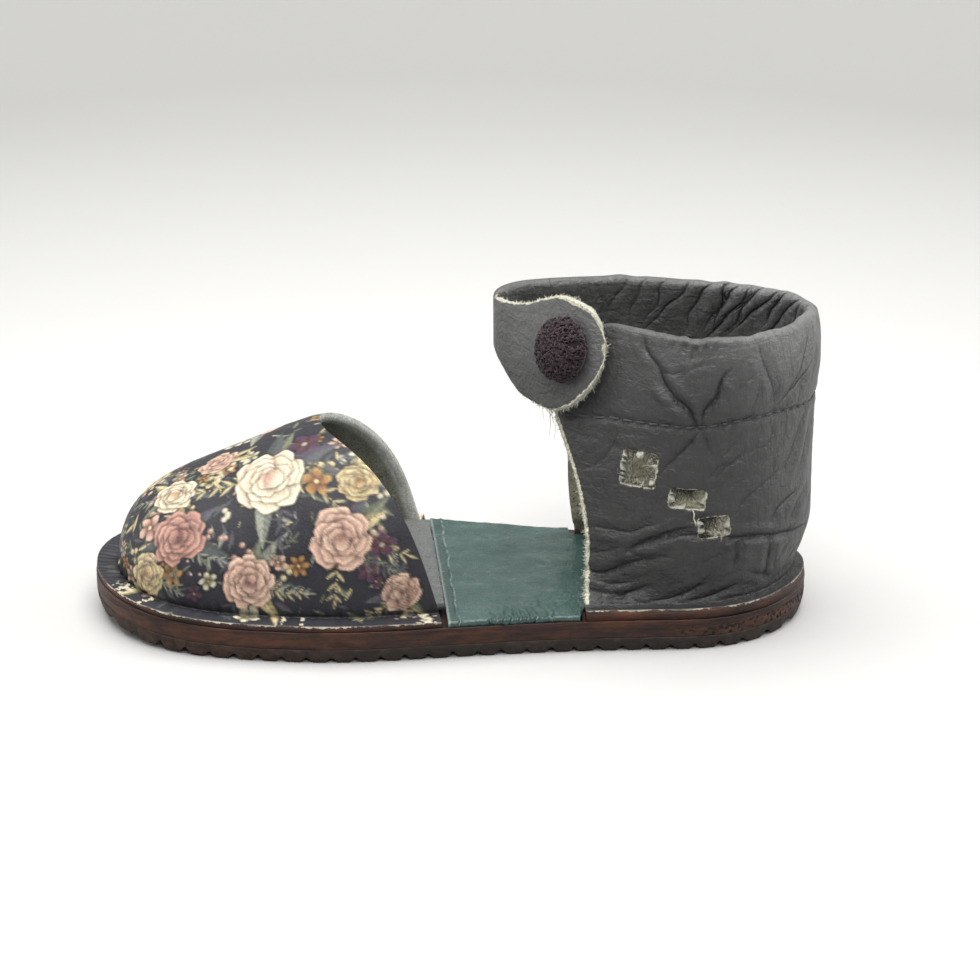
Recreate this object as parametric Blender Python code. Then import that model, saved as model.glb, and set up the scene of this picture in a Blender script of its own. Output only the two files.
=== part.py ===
"""Closed-toe toddler sandal, left foot: tread sole, layered midsole, two-piece insole,
closed toe vamp, heel and ankle wrap with a buttoned strap. Toe along -X, lateral side -Y."""

import math

import bmesh
import bpy
import numpy as np
from mathutils import Matrix, Vector

MM = 0.001
GAP = 0.3

# Heights of the flat part of the sole, in mm above the ground.
OUTSOLE_TOP = 2.7
MIDSOLE_TOP = 6.0
BED = MIDSOLE_TOP + GAP
INSOLE_THICK = 1.1
FLANGE_THICK = 1.2
QUARTER_FLANGE = 2.1
TOE_SPRING = 2.2
TOE_SPRING_FROM = -38.0
HEEL_RISE = 0.9
HEEL_RISE_FROM = 53.0

# Sole edge seen from above, going round from the heel (x, y in mm).
OUTLINE = {
    "heel_back": (66.8, -0.5),
    "heel_corner_lateral": (61.0, -13.8),
    "heel_lateral": (50.0, -20.5),
    "heel_front_lateral": (36.0, -21.7),
    "waist_lateral": (17.5, -22.2),
    "ball_back_lateral": (-5.0, -24.2),
    "ball_lateral": (-22.0, -25.4),
    "little_toe": (-40.0, -23.3),
    "toe_lateral": (-55.6, -18.0),
    "toe_corner": (-64.2, -9.2),
    "toe_tip": (-67.6, 2.5),
    "toe_medial": (-64.4, 16.2),
    "big_toe": (-54.0, 26.3),
    "ball_medial": (-28.0, 31.6),
    "ball_back_medial": (-8.0, 29.4),
    "waist_medial": (10.0, 25.4),
    "heel_front_medial": (27.0, 22.0),
    "heel_medial": (48.0, 18.0),
    "heel_corner_medial": (60.8, 11.8),
}
EDGE_POINTS = 1440
OUTSOLE_TUCK = 0.6
EDGE_ROUND = 0.4
EDGE_UNDERCUT = 0.2
MIDSOLE_SECTIONS = 64

# Tread: notches straight across the sole.
NOTCH_PITCH = 4.5
NOTCH_WIDE = 2.0
NOTCH_DEEP = 1.2
NOTCH_FIRST = -63.5
NOTCH_LAST = 62.5
OUTSOLE_SECTIONS = 44
SECTION_CLEAR = 1.1

# Insole: the seam between its two pieces, and the open waist where it runs to the edge.
SEAM_X = -2.7
SEAM_SLANT = -0.05
SEAM_FADE = 14.0
WAIST_END = 23.0
WAIST_LEDGE_LATERAL = 0.3
WAIST_LEDGE_MEDIAL = 2.2
INSOLE_FRONT_SECTIONS = 30
WAIST_SECTIONS = 14
HEEL_SEAT_SECTIONS = 26

# Vamp (toe piece).
VAMP_WALL = 1.5
VAMP_INSET = 4.1
VAMP_RIBS = 30
VAMP_ROWS = 24
FLANGE_EDGE = 0.2
# The inside of the vamp lies lower than the outside by this much, reached within the toe's run.
VAMP_CREST_WALL = 1.2
TOE_RUN = 4.0
TOE_LIP = 0.3
# Section table along the vamp: x, height of the crest over the bed, sideways lean of the crest.
VAMP_SECTIONS = (
    ("x", "crest", "lean"),
    (-63.5, 0.0, 0.0),
    (-62.8, 6.5, 0.0),
    (-60.4, 11.8, 0.5),
    (-56.0, 16.2, 1.0),
    (-50.0, 19.6, 1.2),
    (-44.0, 22.2, 1.2),
    (-38.0, 24.8, 1.0),
    (-30.0, 28.2, 0.8),
    (-24.0, 30.2, 0.6),
    (-14.0, 31.0, 0.3),
    (-2.0, 29.0, 0.0),
)
VAMP_FULL = 2.3
VAMP_SQUARE = 2.1
# Throat edge: angle over the foot in degrees (0 lateral, 180 medial) and the x it reaches.
THROAT = (
    ("angle", "x"),
    (0.0, -3.0),
    (30.0, -8.0),
    (60.0, -16.2),
    (95.0, -24.8),
    (125.0, -18.6),
    (152.0, -10.6),
    (180.0, -5.8),
)

# Quarter (heel and ankle wrap).
QUARTER_WALL = 1.3
QUARTER_INSET = 3.4
COLLAR_TOP = 60.0
COLLAR_WALL = 2.6
COLLAR_DEEP = 16.0
COLLAR_STEP = 0.05
COLLAR_ROLL = {0.97: 0.25, 1.0: 0.9}
QUARTER_COLS = 48
QUARTER_LEVELS = (0.0, 0.06, 0.13, 0.21, 0.3, 0.4, 0.5, 0.58, 0.66, 0.71, 0.76, 0.84, 0.92, 0.97, 1.0)
MID_LEVEL = 0.25
LEAN_POWER = 1.7
# Row per station round the heel: foot x on the inset line, then the wall's outside at mid height
# and at the collar, and the collar's height.
QUARTER_STATIONS = (
    ("name", "side", "foot_x", "mid_x", "mid_y", "top_x", "top_y", "top_z"),
    ("lateral_front", -1, 24.0, 24.2, -15.6, 14.5, 3.5, 50.0),
    ("lateral_waist", -1, 33.5, 33.5, -18.6, 29.5, -9.4, COLLAR_TOP),
    ("lateral_heel", -1, 45.0, 45.5, -20.2, 43.0, -18.0, COLLAR_TOP),
    ("lateral_back", -1, 56.0, 59.5, -15.5, 57.5, -15.6, COLLAR_TOP),
    ("heel_back", 0, 63.4, 67.5, -0.3, 67.8, 0.5, COLLAR_TOP),
    ("medial_back", 1, 56.0, 59.5, 13.6, 58.5, 11.8, COLLAR_TOP),
    ("medial_heel", 1, 46.0, 46.5, 17.8, 46.0, 16.6, COLLAR_TOP),
    ("medial_waist", 1, 34.5, 34.0, 19.6, 33.0, 19.3, COLLAR_TOP),
    ("medial_front", 1, 24.2, 22.9, 20.4, 18.6, 18.4, COLLAR_TOP),
)

# Strap: path of its upper edge seen from above, heights of its two edges, and how far the lower
# edge stands out sideways.
STRAP_WALL = 1.6
STRAP_ROW = 7
STRAP_COLS = 36
STRAP_CROWD = 0.08
STRAP_FADE = 6.0
STRAP_PATH = (
    ("x", "y", "low", "high", "lean"),
    (14.0, 17.3, 42.0, 60.0, -0.5),
    (9.8, 15.0, 47.2, 59.8, 0.0),
    (8.1, 12.4, 49.2, 59.4, 1.0),
    (9.0, 9.8, 47.4, 58.4, 3.0),
    (13.4, 4.9, 43.0, 59.2, 6.0),
    (17.5, 0.2, 42.8, 61.8, 7.5),
    (20.3, -2.9, 44.0, 63.2, 7.0),
    (24.6, -7.8, 48.8, 62.6, 5.0),
    (26.8, -10.2, 52.4, 60.0, 2.5),
    (27.6, -11.1, 54.4, 57.6, 1.0),
)

# Button on the strap's round end.
BUTTON_WIDE = 11.9
BUTTON_TALL = 4.2
BUTTON_X = 20.6
BUTTON_Z = 54.0
BUTTON_RIM = 0.8
BUTTON_FOOT_INSET = 0.6
BUTTON_DOME = 0.8
BUTTON_RINGS = 7
BUTTON_SIDES = 28

# Square holes in the lateral wall: x, z of the centre, width, height, turn in degrees.
HOLES = (
    ("x", "z", "wide", "tall", "turn"),
    (33.6, 34.6, 6.7, 6.6, -5.0),
    (42.4, 29.5, 6.8, 4.3, -4.0),
    (47.2, 24.2, 6.5, 4.4, 4.0),
)
HOLE_CORNER = 1.2
CUTTER_LONG = 12.0

# Plain colours of the solids.
RUBBER = (0.035, 0.028, 0.025)
SOLE_LEATHER = (0.075, 0.03, 0.02)
FELT = (0.16, 0.16, 0.16)
TEAL_LEATHER = (0.10, 0.17, 0.15)
DARK_LEATHER = (0.03, 0.03, 0.04)
GREY_LEATHER = (0.11, 0.11, 0.115)
BUTTON_CLOTH = (0.06, 0.03, 0.035)


def columns(table):
    """Columns of a table by the names in its first row."""
    names = table[0]
    rows = table[1:]
    return {name: [row[i] for row in rows] for i, name in enumerate(names)}


def steady(knots, values, at):
    """Curve through a table that keeps rising or falling between its rows."""
    k = np.asarray(knots, float)
    v = np.asarray(values, float)
    step = np.diff(k)
    rise = np.diff(v) / step
    slope = np.zeros_like(v)
    slope[0] = rise[0]
    slope[-1] = rise[-1]
    same = rise[1:] * rise[:-1] > 0
    mean = 2 * rise[1:] * rise[:-1] / np.where(same, rise[1:] + rise[:-1], 1.0)
    slope[1:-1] = np.where(same, mean, 0.0)
    x = np.clip(np.asarray(at, float), k[0], k[-1])
    i = np.clip(np.searchsorted(k, x, side="right") - 1, 0, len(k) - 2)
    t = (x - k[i]) / step[i]
    low = v[i] * (1 + 2 * t) * (1 - t) ** 2 + v[i + 1] * t * t * (3 - 2 * t)
    return low + step[i] * (slope[i] * t * (1 - t) ** 2 - slope[i + 1] * t * t * (1 - t))


def cubic(knots, values, at, closed=False):
    """Cubic spline through rows of values. A closed one ends on its first row."""
    k = np.asarray(knots, float)
    v = np.asarray(values, float)
    h = np.diff(k)
    n = len(k)
    matrix = np.zeros((n, n))
    right = np.zeros_like(v)
    for i in range(1, n - 1):
        matrix[i, i - 1 : i + 2] = h[i - 1], 2 * (h[i - 1] + h[i]), h[i]
        right[i] = 6 * ((v[i + 1] - v[i]) / h[i] - (v[i] - v[i - 1]) / h[i - 1])
    matrix[0, 0] = 1
    matrix[-1, -1] = 1
    if closed:
        matrix[0, -1] = -1
        matrix[-1, :2] += 2 * h[0], h[0]
        matrix[-1, -2:] = h[-1], 2 * h[-1]
        right[-1] = 6 * ((v[1] - v[0]) / h[0] - (v[-1] - v[-2]) / h[-1])
    bend = np.linalg.solve(matrix, right)
    x = np.asarray(at, float)
    i = np.clip(np.searchsorted(k, x, side="right") - 1, 0, n - 2)
    a = ((k[i + 1] - x) / h[i])[:, None]
    b = 1 - a
    pull = ((a**3 - a) * bend[i] + (b**3 - b) * bend[i + 1]) * h[i][:, None] ** 2 / 6
    return a * v[i] + b * v[i + 1] + pull


def sole_edge():
    """Dense sole edge and its outward directions, clockwise from the heel."""
    corners = np.array(list(OUTLINE.values()) + [OUTLINE["heel_back"]])
    chord = np.linalg.norm(np.diff(corners, axis=0), axis=1)
    knots = np.concatenate([[0], np.cumsum(chord)])
    fine = cubic(knots, corners, np.linspace(0, knots[-1], EDGE_POINTS + 1)[:-1], closed=True)
    along = np.roll(fine, -1, axis=0) - np.roll(fine, 1, axis=0)
    along /= np.linalg.norm(along, axis=1)[:, None]
    return fine, np.stack([-along[:, 1], along[:, 0]], axis=1)


EDGE, OUTWARD = sole_edge()


def ring(inset):
    """The sole edge moved inwards."""
    return EDGE - inset * OUTWARD


def place(line, index):
    """Point on a closed line at a fractional index."""
    low = np.floor(index).astype(int)
    part = (index - low)[:, None]
    return line[low % EDGE_POINTS] * (1 - part) + line[(low + 1) % EDGE_POINTS] * part


def ends(inset):
    """Indices of the toe tip and the heel tip of a ring."""
    line = ring(inset)
    return int(np.argmin(line[:, 0])), int(np.argmax(line[:, 0]))


def index_at(x, inset, side):
    """Fractional index on a ring where it has this x, on the lateral (-1) or medial (1) side."""
    line = ring(inset)
    toe, heel = ends(inset)
    if heel > EDGE_POINTS // 2:
        heel -= EDGE_POINTS
    if side < 0:
        order = np.arange(toe, heel - 1, -1)
    else:
        order = np.arange(toe, heel + EDGE_POINTS + 1)
    return np.interp(x, np.maximum.accumulate(line[order % EDGE_POINTS, 0]), order)


def side_y(x, inset, side):
    return place(ring(inset), index_at(np.atleast_1d(x), inset, side))[:, 1]


def ground(x):
    """Height of the sole's underside over the ground."""
    toe = np.clip((TOE_SPRING_FROM - x) / (TOE_SPRING_FROM - EDGE[:, 0].min()), 0, None)
    heel = np.clip((x - HEEL_RISE_FROM) / (EDGE[:, 0].max() - HEEL_RISE_FROM), 0, None)
    return TOE_SPRING * toe**2 + HEEL_RISE * heel**2


def add_object(name, points, faces, colour, roughness):
    """Closed mesh object from points in mm, with a material of its own."""
    mesh = bpy.data.meshes.new(name)
    mesh.from_pydata([tuple(p) for p in np.asarray(points) * MM], [], faces)
    work = bmesh.new()
    work.from_mesh(mesh)
    bmesh.ops.remove_doubles(work, verts=work.verts, dist=1e-7)
    bmesh.ops.recalc_face_normals(work, faces=work.faces)
    work.to_mesh(mesh)
    work.free()
    material = bpy.data.materials.new(name)
    material.use_nodes = True
    shader = material.node_tree.nodes["Principled BSDF"]
    shader.inputs["Base Color"].default_value = (*colour, 1)
    shader.inputs["Roughness"].default_value = roughness
    mesh.materials.append(material)
    obj = bpy.data.objects.new(name, mesh)
    bpy.context.collection.objects.link(obj)
    return obj


def loft(sections):
    """Points and faces of a solid from sections of equal length, closed at both ends."""
    count = len(sections[0])
    points = np.concatenate(sections)
    faces = []
    for j in range(len(sections) - 1):
        for i in range(count):
            a = j * count + i
            b = j * count + (i + 1) % count
            faces.append((a, b, b + count, a + count))
    for j, flip in ((0, 1), (len(sections) - 1, -1)):
        spread = np.ptp(sections[j][:, :2], axis=0).max()
        if spread > 1e-6:
            faces.append(tuple(range(j * count, (j + 1) * count))[::flip])
    return points, [f for f in faces if len(set(f)) > 2]


def layer(levels, share, lift=None):
    """Sole layer between rings: levels give (inset, height) from the lower ring to the upper one."""
    sections = []
    for number, t in enumerate(share):
        lateral = []
        medial = []
        for level, (inset, height) in enumerate(levels):
            line = ring(inset)
            x = line[:, 0].min() + t * np.ptp(line[:, 0])
            z = height + float(ground(x))
            if lift is not None and level == 0:
                z += lift[number]
            lateral.append((x, side_y(x, inset, -1)[0], z))
            medial.append((x, side_y(x, inset, 1)[0], z))
        if number in (0, len(share) - 1):
            medial = lateral
        sections.append(np.array(lateral + medial[::-1]))
    return loft(sections)


def round_ends(count):
    """Shares along a length, close together at both ends."""
    return 0.5 - 0.5 * np.cos(np.pi * np.arange(count + 1) / count)


def build_outsole():
    line = ring(OUTSOLE_TUCK)
    low = line[:, 0].min()
    length = np.ptp(line[:, 0])
    shares = []
    lifts = []
    for centre in np.arange(NOTCH_FIRST, NOTCH_LAST + 0.1, NOTCH_PITCH):
        for offset, deep in ((-0.5, 0.0), (0.0, NOTCH_DEEP), (0.5, 0.0)):
            shares.append((centre + offset * NOTCH_WIDE - low) / length)
            lifts.append(deep)
    for t in round_ends(OUTSOLE_SECTIONS):
        clear = np.abs(np.array(shares) - t).min() * length
        if clear > SECTION_CLEAR or t in (0.0, 1.0):
            shares.append(t)
            lifts.append(0.0)
    order = np.argsort(shares)
    share = np.array(shares)[order]
    lift = np.array(lifts)[order]
    points, faces = layer(((OUTSOLE_TUCK, 0.0), (0.0, OUTSOLE_TOP)), share, lift)
    return add_object("outsole", points, faces, RUBBER, 0.75)


def build_midsole():
    low = OUTSOLE_TOP + GAP
    levels = (
        (EDGE_UNDERCUT, low),
        (0.0, low + EDGE_ROUND),
        (0.0, MIDSOLE_TOP - EDGE_ROUND),
        (EDGE_ROUND, MIDSOLE_TOP),
    )
    points, faces = layer(levels, round_ends(MIDSOLE_SECTIONS))
    return add_object("midsole", points, faces, SOLE_LEATHER, 0.6)


def bed_sections(x_list, inset_list):
    """Insole sections: a flat strip on the bed, slanted near the seam."""
    sections = []
    for x, inset in zip(x_list, inset_list):
        y = np.array([side_y(x, inset[0], -1)[0], side_y(x, inset[1], 1)[0]])
        slant = SEAM_SLANT * np.clip(1 - abs(x - SEAM_X) / SEAM_FADE, 0, 1)
        xs = x + slant * y
        z = BED + ground(xs)
        corners = [
            (xs[0], y[0], z[0]),
            (xs[0], y[0], z[0] + INSOLE_THICK),
            (xs[1], y[1], z[1] + INSOLE_THICK),
            (xs[1], y[1], z[1]),
        ]
        sections.append(np.array(corners))
    return sections


def build_insole_front():
    inset = VAMP_INSET + VAMP_WALL + GAP
    tip = ring(inset)[:, 0].min()
    share = 1 - np.cos(np.linspace(0, np.pi / 2, INSOLE_FRONT_SECTIONS))
    xs = tip + share * (SEAM_X - GAP / 2 - tip)
    points, faces = loft(bed_sections(xs, [(inset, inset)] * len(xs)))
    return add_object("insole_front", points, faces, FELT, 0.95)


def build_insole_rear():
    inset = QUARTER_INSET + QUARTER_WALL + GAP
    tip = ring(inset)[:, 0].max()
    waist = np.linspace(SEAM_X + GAP / 2, WAIST_END, WAIST_SECTIONS)
    share = np.sin(np.linspace(0, np.pi / 2, HEEL_SEAT_SECTIONS))
    heel_start = WAIST_END + FLANGE_EDGE
    back = heel_start + share * (tip - heel_start)
    xs = np.concatenate([waist, back])
    ledge = (WAIST_LEDGE_LATERAL, WAIST_LEDGE_MEDIAL)
    insets = [ledge] * len(waist) + [(inset, inset)] * len(back)
    points, faces = loft(bed_sections(xs, insets))
    return add_object("insole_rear", points, faces, TEAL_LEATHER, 0.55)


def shell(outer, inner, quads):
    """Wall between two sheets of the same grid: both sheets, and a strip along every open edge."""
    keys = {}
    same = []
    for number, p in enumerate(outer):
        same.append(keys.setdefault(tuple(np.round(p, 4)), number))
    count = len(outer)
    sheet = []
    for quad in quads:
        face = []
        for number in quad:
            if same[number] not in face:
                face.append(same[number])
        if len(face) > 2:
            sheet.append(face)
    used = {}
    for face in sheet:
        for a, b in zip(face, face[1:] + face[:1]):
            used[(a, b)] = True
    faces = [tuple(face) for face in sheet]
    faces += [tuple(number + count for number in face[::-1]) for face in sheet]
    faces += [(b, a, a + count, b + count) for a, b in used if (b, a) not in used]
    return np.concatenate([outer, inner]), faces


def grid_quads(rows, cols, first=0):
    """Quads of a grid stored row by row."""
    quads = []
    for j in range(rows - 1):
        for i in range(cols - 1):
            a = first + j * cols + i
            quads.append((a, a + 1, a + 1 + cols, a + cols))
    return quads


def vamp_sheet(inset, base, shift, drop):
    """One face of the vamp, row by row from the toe to the throat, with its flange on both sides."""
    table = columns(VAMP_SECTIONS)
    tip_index = ends(inset)[0]
    tip = ring(inset)[tip_index, 0]
    angles = np.linspace(0, 180, VAMP_RIBS + 1)
    throat = columns(THROAT)
    reach = cubic(throat["angle"], np.array(throat["x"])[:, None], angles)[:, 0]
    turn = np.radians(angles)
    across = np.sign(np.cos(turn)) * np.abs(np.cos(turn)) ** (2 / VAMP_FULL)
    up = np.abs(np.sin(turn)) ** (2 / VAMP_SQUARE)
    sheet = []
    for s in np.linspace(0, 1, VAMP_ROWS + 1):
        x = tip + (reach - tip) * (1 - np.cos(s * np.pi / 2))
        lateral = side_y(x, inset, -1)
        medial = side_y(x, inset, 1)
        crest = steady(table["x"], table["crest"], x - shift)
        crest = crest - drop * np.clip((x - tip) / TOE_RUN, 0, 1)
        rise = np.clip(BED + crest - base, 0, None) * np.clip((x - tip) / TOE_LIP, 0, 1)
        lean = steady(table["x"], table["lean"], x)
        y = (lateral + medial) / 2 - (medial - lateral) / 2 * across + lean * np.sin(turn) ** 2
        z = base + ground(x) + rise * up
        row = np.stack([x, y, z], axis=1)
        flange = []
        for side, column in ((-1, 0), (1, -1)):
            index = index_at(x[[column]], inset, side)
            if s == 0:
                index = np.array([float(tip_index)])
            out = place(ring(FLANGE_EDGE), index)[0]
            flange.append([out[0], out[1], base + float(ground(out[0]))])
        sheet.append(np.concatenate([[flange[0]], row, [flange[1]]]))
    return np.array(sheet)


def build_vamp():
    outer = vamp_sheet(VAMP_INSET, BED + FLANGE_THICK, 0.0, 0.0)
    inner = vamp_sheet(VAMP_INSET + VAMP_WALL, BED, VAMP_WALL, VAMP_CREST_WALL)
    rows, cols = outer.shape[:2]
    points, faces = shell(outer.reshape(-1, 3), inner.reshape(-1, 3), grid_quads(rows, cols))
    return add_object("vamp", points, faces, DARK_LEATHER, 0.5)


def quarter_wall():
    """Outside of the heel wrap, column by column from the lateral front, with foot and edge lines."""
    table = columns(QUARTER_STATIONS)
    knots = np.arange(len(table["name"]), dtype=float)
    foot_index = []
    for x, side in zip(table["foot_x"], table["side"]):
        if side < 0:
            foot_index.append(index_at(x, QUARTER_INSET, -1))
        elif side > 0:
            foot_index.append(index_at(x, QUARTER_INSET, 1) - EDGE_POINTS)
        else:
            foot_index.append(0.0)
    at = np.linspace(0, knots[-1], QUARTER_COLS + 1)
    index = steady(knots, foot_index, at)
    foot = place(ring(QUARTER_INSET), index)
    edge = place(ring(FLANGE_EDGE), index)
    mid = cubic(knots, np.stack([table["mid_x"], table["mid_y"]], axis=1), at)
    top = cubic(knots, np.stack([table["top_x"], table["top_y"]], axis=1), at)
    top_z = steady(knots, table["top_z"], at)
    base = BED + QUARTER_FLANGE + ground(foot[:, 0])
    wall = []
    for v in QUARTER_LEVELS:
        swell = 1 - (1 - min(v / MID_LEVEL, 1)) ** 2
        lean = max((v - MID_LEVEL) / (1 - MID_LEVEL), 0) ** LEAN_POWER
        xy = foot + (mid - foot) * swell + (top - mid) * lean
        wall.append(np.column_stack([xy, base + v * (top_z - base)]))
    return np.array(wall), edge


def outward_of(wall):
    """Outward directions of a grid of points."""
    along = np.gradient(wall, axis=1)
    up = np.gradient(wall, axis=0)
    out = np.cross(along, up)
    out /= np.linalg.norm(out, axis=2)[:, :, None]
    middle = wall.mean(axis=(0, 1))
    if ((wall - middle) * out).sum() < 0:
        out = -out
    return out


def strap_path(start):
    """Strap columns from the wall's front column: plan points, edge heights and lean."""
    table = columns(STRAP_PATH)
    plan = np.column_stack([table["x"], table["y"]])
    plan = np.concatenate([[start[-1, :2]], plan])
    low = np.concatenate([[start[0, 2]], table["low"]])
    high = np.concatenate([[start[-1, 2]], table["high"]])
    lean = np.concatenate([[start[-1, 1] - start[0, 1]], table["lean"]])
    knots = np.concatenate([[0], np.cumsum(np.linalg.norm(np.diff(plan, axis=0), axis=1))])
    share = np.linspace(0, 1, STRAP_COLS + 1)
    at = knots[-1] * (share + STRAP_CROWD * np.sin(np.pi * share) * share)
    line = cubic(knots, plan, at)
    return line, steady(knots, low, at), steady(knots, high, at), steady(knots, lean, at)


def build_quarter():
    wall, edge = quarter_wall()
    levels = np.array(QUARTER_LEVELS)
    out = outward_of(wall)
    deep = 1 - COLLAR_DEEP / (COLLAR_TOP - BED)
    fold = np.clip((levels - deep) / COLLAR_STEP, 0, 1)
    thick = QUARTER_WALL + (COLLAR_WALL - QUARTER_WALL) * fold
    inner = wall - thick[:, None, None] * out
    inner[0, :, 2] = BED + ground(inner[0, :, 0])
    outer = wall.copy()
    roll = np.array([COLLAR_ROLL.get(level, 0.0) for level in QUARTER_LEVELS])[:, None, None]
    outer -= roll * out
    inner += roll * out
    outer_edge = np.column_stack([edge, BED + QUARTER_FLANGE + ground(edge[:, 0])])
    inner_edge = np.column_stack([edge, BED + ground(edge[:, 0])])
    outer = np.concatenate([[outer_edge], outer])
    inner = np.concatenate([[inner_edge], inner])
    rows, cols = outer.shape[:2]
    quads = grid_quads(rows, cols)

    line, low, high, lean = strap_path(wall[STRAP_ROW:, -1])
    heading = np.gradient(line, axis=0)
    heading /= np.linalg.norm(heading, axis=1)[:, None]
    normal = np.column_stack([heading[:, 1], -heading[:, 0]])
    share = (levels[STRAP_ROW:] - levels[STRAP_ROW]) / (1 - levels[STRAP_ROW])
    strap_rows = len(share)
    outer_strap = []
    inner_strap = []
    for i in range(1, len(line)):
        z = low[i] + share * (high[i] - low[i])
        xy = np.repeat(line[i][None, :], strap_rows, axis=0)
        xy[:, 1] -= lean[i] * (1 - share)
        fade = min(1.0, i / STRAP_FADE)
        wide = COLLAR_WALL * (1 - fade) + STRAP_WALL * fade
        outer_strap.append(np.column_stack([xy, z]))
        inner_strap.append(np.column_stack([xy - wide * normal[i], z]))
    first = rows * cols
    for i in range(len(outer_strap)):
        for k in range(strap_rows - 1):
            if i == 0:
                a = (STRAP_ROW + 1 + k) * cols + cols - 1
                b = a + cols
            else:
                a = first + (i - 1) * strap_rows + k
                b = a + 1
            c = first + i * strap_rows + k
            quads.append((a, c, c + 1, b))
    outer_all = np.concatenate([outer.reshape(-1, 3)] + outer_strap)
    inner_all = np.concatenate([inner.reshape(-1, 3)] + inner_strap)
    points, faces = shell(outer_all, inner_all, quads)
    return add_object("quarter", points, faces, GREY_LEATHER, 0.5)


def cut_holes(quarter):
    table = columns(HOLES)
    wall, _ = quarter_wall()
    flat = wall.reshape(-1, 3)
    out = outward_of(wall).reshape(-1, 3)
    lateral = flat[:, 1] < 0
    for number in range(len(table["x"])):
        x = table["x"][number]
        z = table["z"][number]
        far = np.where(lateral, np.hypot(flat[:, 0] - x, flat[:, 2] - z), 1e9)
        near = np.argsort(far)[:4]
        weight = 1 / (far[near] + 0.1)
        weight /= weight.sum()
        centre = Vector((x, float(weight @ flat[near, 1]), z)) * MM
        direction = Vector(weight @ out[near]).normalized()
        sideways = Vector((0, 0, 1)).cross(direction).normalized()
        upward = direction.cross(sideways)
        frame = Matrix((sideways, upward, direction)).transposed().to_4x4()
        frame = Matrix.Translation(centre) @ frame
        frame = frame @ Matrix.Rotation(math.radians(table["turn"][number]), 4, "Z")
        mesh = bpy.data.meshes.new("hole_cutter")
        work = bmesh.new()
        bmesh.ops.create_cube(work, size=1.0)
        size = (table["wide"][number] * MM, table["tall"][number] * MM, CUTTER_LONG * MM)
        bmesh.ops.scale(work, vec=size, verts=work.verts)
        upright = [e for e in work.edges if abs(e.verts[0].co.z - e.verts[1].co.z) > 1 * MM]
        corner = HOLE_CORNER * MM
        bmesh.ops.bevel(work, geom=upright, offset=corner, segments=2, profile=0.5, affect="EDGES")
        bmesh.ops.transform(work, matrix=frame, verts=work.verts)
        bmesh.ops.recalc_face_normals(work, faces=work.faces)
        work.to_mesh(mesh)
        work.free()
        cutter = bpy.data.objects.new("hole_cutter", mesh)
        bpy.context.collection.objects.link(cutter)
        cutter.hide_render = True
        cutter.display_type = "WIRE"
        cut = quarter.modifiers.new("hole", "BOOLEAN")
        cut.operation = "DIFFERENCE"
        cut.solver = "EXACT"
        cut.object = cutter


def build_button():
    line, low, high, lean = strap_path(quarter_wall()[0][STRAP_ROW:, -1])
    i = len(line) // 2 + int(np.argmin(np.abs(line[len(line) // 2 :, 0] - BUTTON_X)))
    share = (BUTTON_Z - low[i]) / (high[i] - low[i])
    foot = Vector((line[i, 0], line[i, 1] - lean[i] * (1 - share), BUTTON_Z))
    along = Vector((*(line[i + 1] - line[i - 1]), 0)).normalized()
    upward = Vector((0, lean[i], high[i] - low[i])).normalized()
    direction = upward.cross(along).normalized()
    if direction.y > 0:
        direction = -direction
    centre = foot + direction * GAP
    sideways = upward.cross(direction)
    rings = BUTTON_RINGS
    around = BUTTON_SIDES
    points = []
    for j in range(rings):
        lift = math.pi / 2 * j / rings
        radius = BUTTON_WIDE / 2 * math.cos(lift) ** BUTTON_DOME
        height = BUTTON_RIM + (BUTTON_TALL - BUTTON_RIM) * math.sin(lift)
        for k in range(around):
            turn = 2 * math.pi * k / around
            flat = sideways * math.cos(turn) + upward * math.sin(turn)
            points.append(tuple(centre + flat * radius + direction * height))
    for k in range(around):
        turn = 2 * math.pi * k / around
        flat = sideways * math.cos(turn) + upward * math.sin(turn)
        points.append(tuple(centre + flat * (BUTTON_WIDE / 2 - BUTTON_FOOT_INSET)))
    points.append(tuple(centre + direction * BUTTON_TALL))
    faces = []
    for j in range(rings - 1):
        for k in range(around):
            a = j * around + k
            b = j * around + (k + 1) % around
            faces.append((a, b, b + around, a + around))
    top = (rings - 1) * around
    rim = rings * around
    for k in range(around):
        n = (k + 1) % around
        faces.append((top + k, top + n, rim + around))
        faces.append((rim + k, rim + n, n, k))
    faces.append(tuple(rim + k for k in reversed(range(around))))
    return add_object("button", points, faces, BUTTON_CLOTH, 0.85)


def centre_all(objects):
    """Move everything so that the box round it stands on the ground about the origin."""
    bpy.context.view_layer.update()
    graph = bpy.context.evaluated_depsgraph_get()
    corners = []
    for obj in objects:
        corners += [Vector(c) for c in obj.evaluated_get(graph).bound_box]
    low = Vector(min(c[i] for c in corners) for i in range(3))
    high = Vector(max(c[i] for c in corners) for i in range(3))
    shift = Vector((-(low.x + high.x) / 2, -(low.y + high.y) / 2, -low.z))
    for obj in bpy.data.objects:
        if obj.type == "MESH":
            obj.data.transform(Matrix.Translation(shift))


for old in list(bpy.data.objects):
    bpy.data.objects.remove(old, do_unlink=True)
outsole = build_outsole()
midsole = build_midsole()
insole_front = build_insole_front()
insole_rear = build_insole_rear()
vamp = build_vamp()
quarter = build_quarter()
cut_holes(quarter)
button = build_button()
centre_all([outsole, midsole, insole_front, insole_rear, vamp, quarter, button])
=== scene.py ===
# %% [markdown]
# # A closed-toe sandal for a small child, left foot
#
# The maker of this sandal works with few pieces: a rubber outsole, a leather midsole, a felt
# and a teal leather insole, a printed toe piece (the vamp), a grey heel wrap with a strap (the
# quarter) and a cloth button. The CAD solids already have these shapes at their real size. This
# lesson makes the sheets that stand for them: thin leather with creases, stitches and raw edges.
#
# Everything is in one frame, in metres: toe towards -X, outer side of the foot towards -Y.

import math

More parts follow.
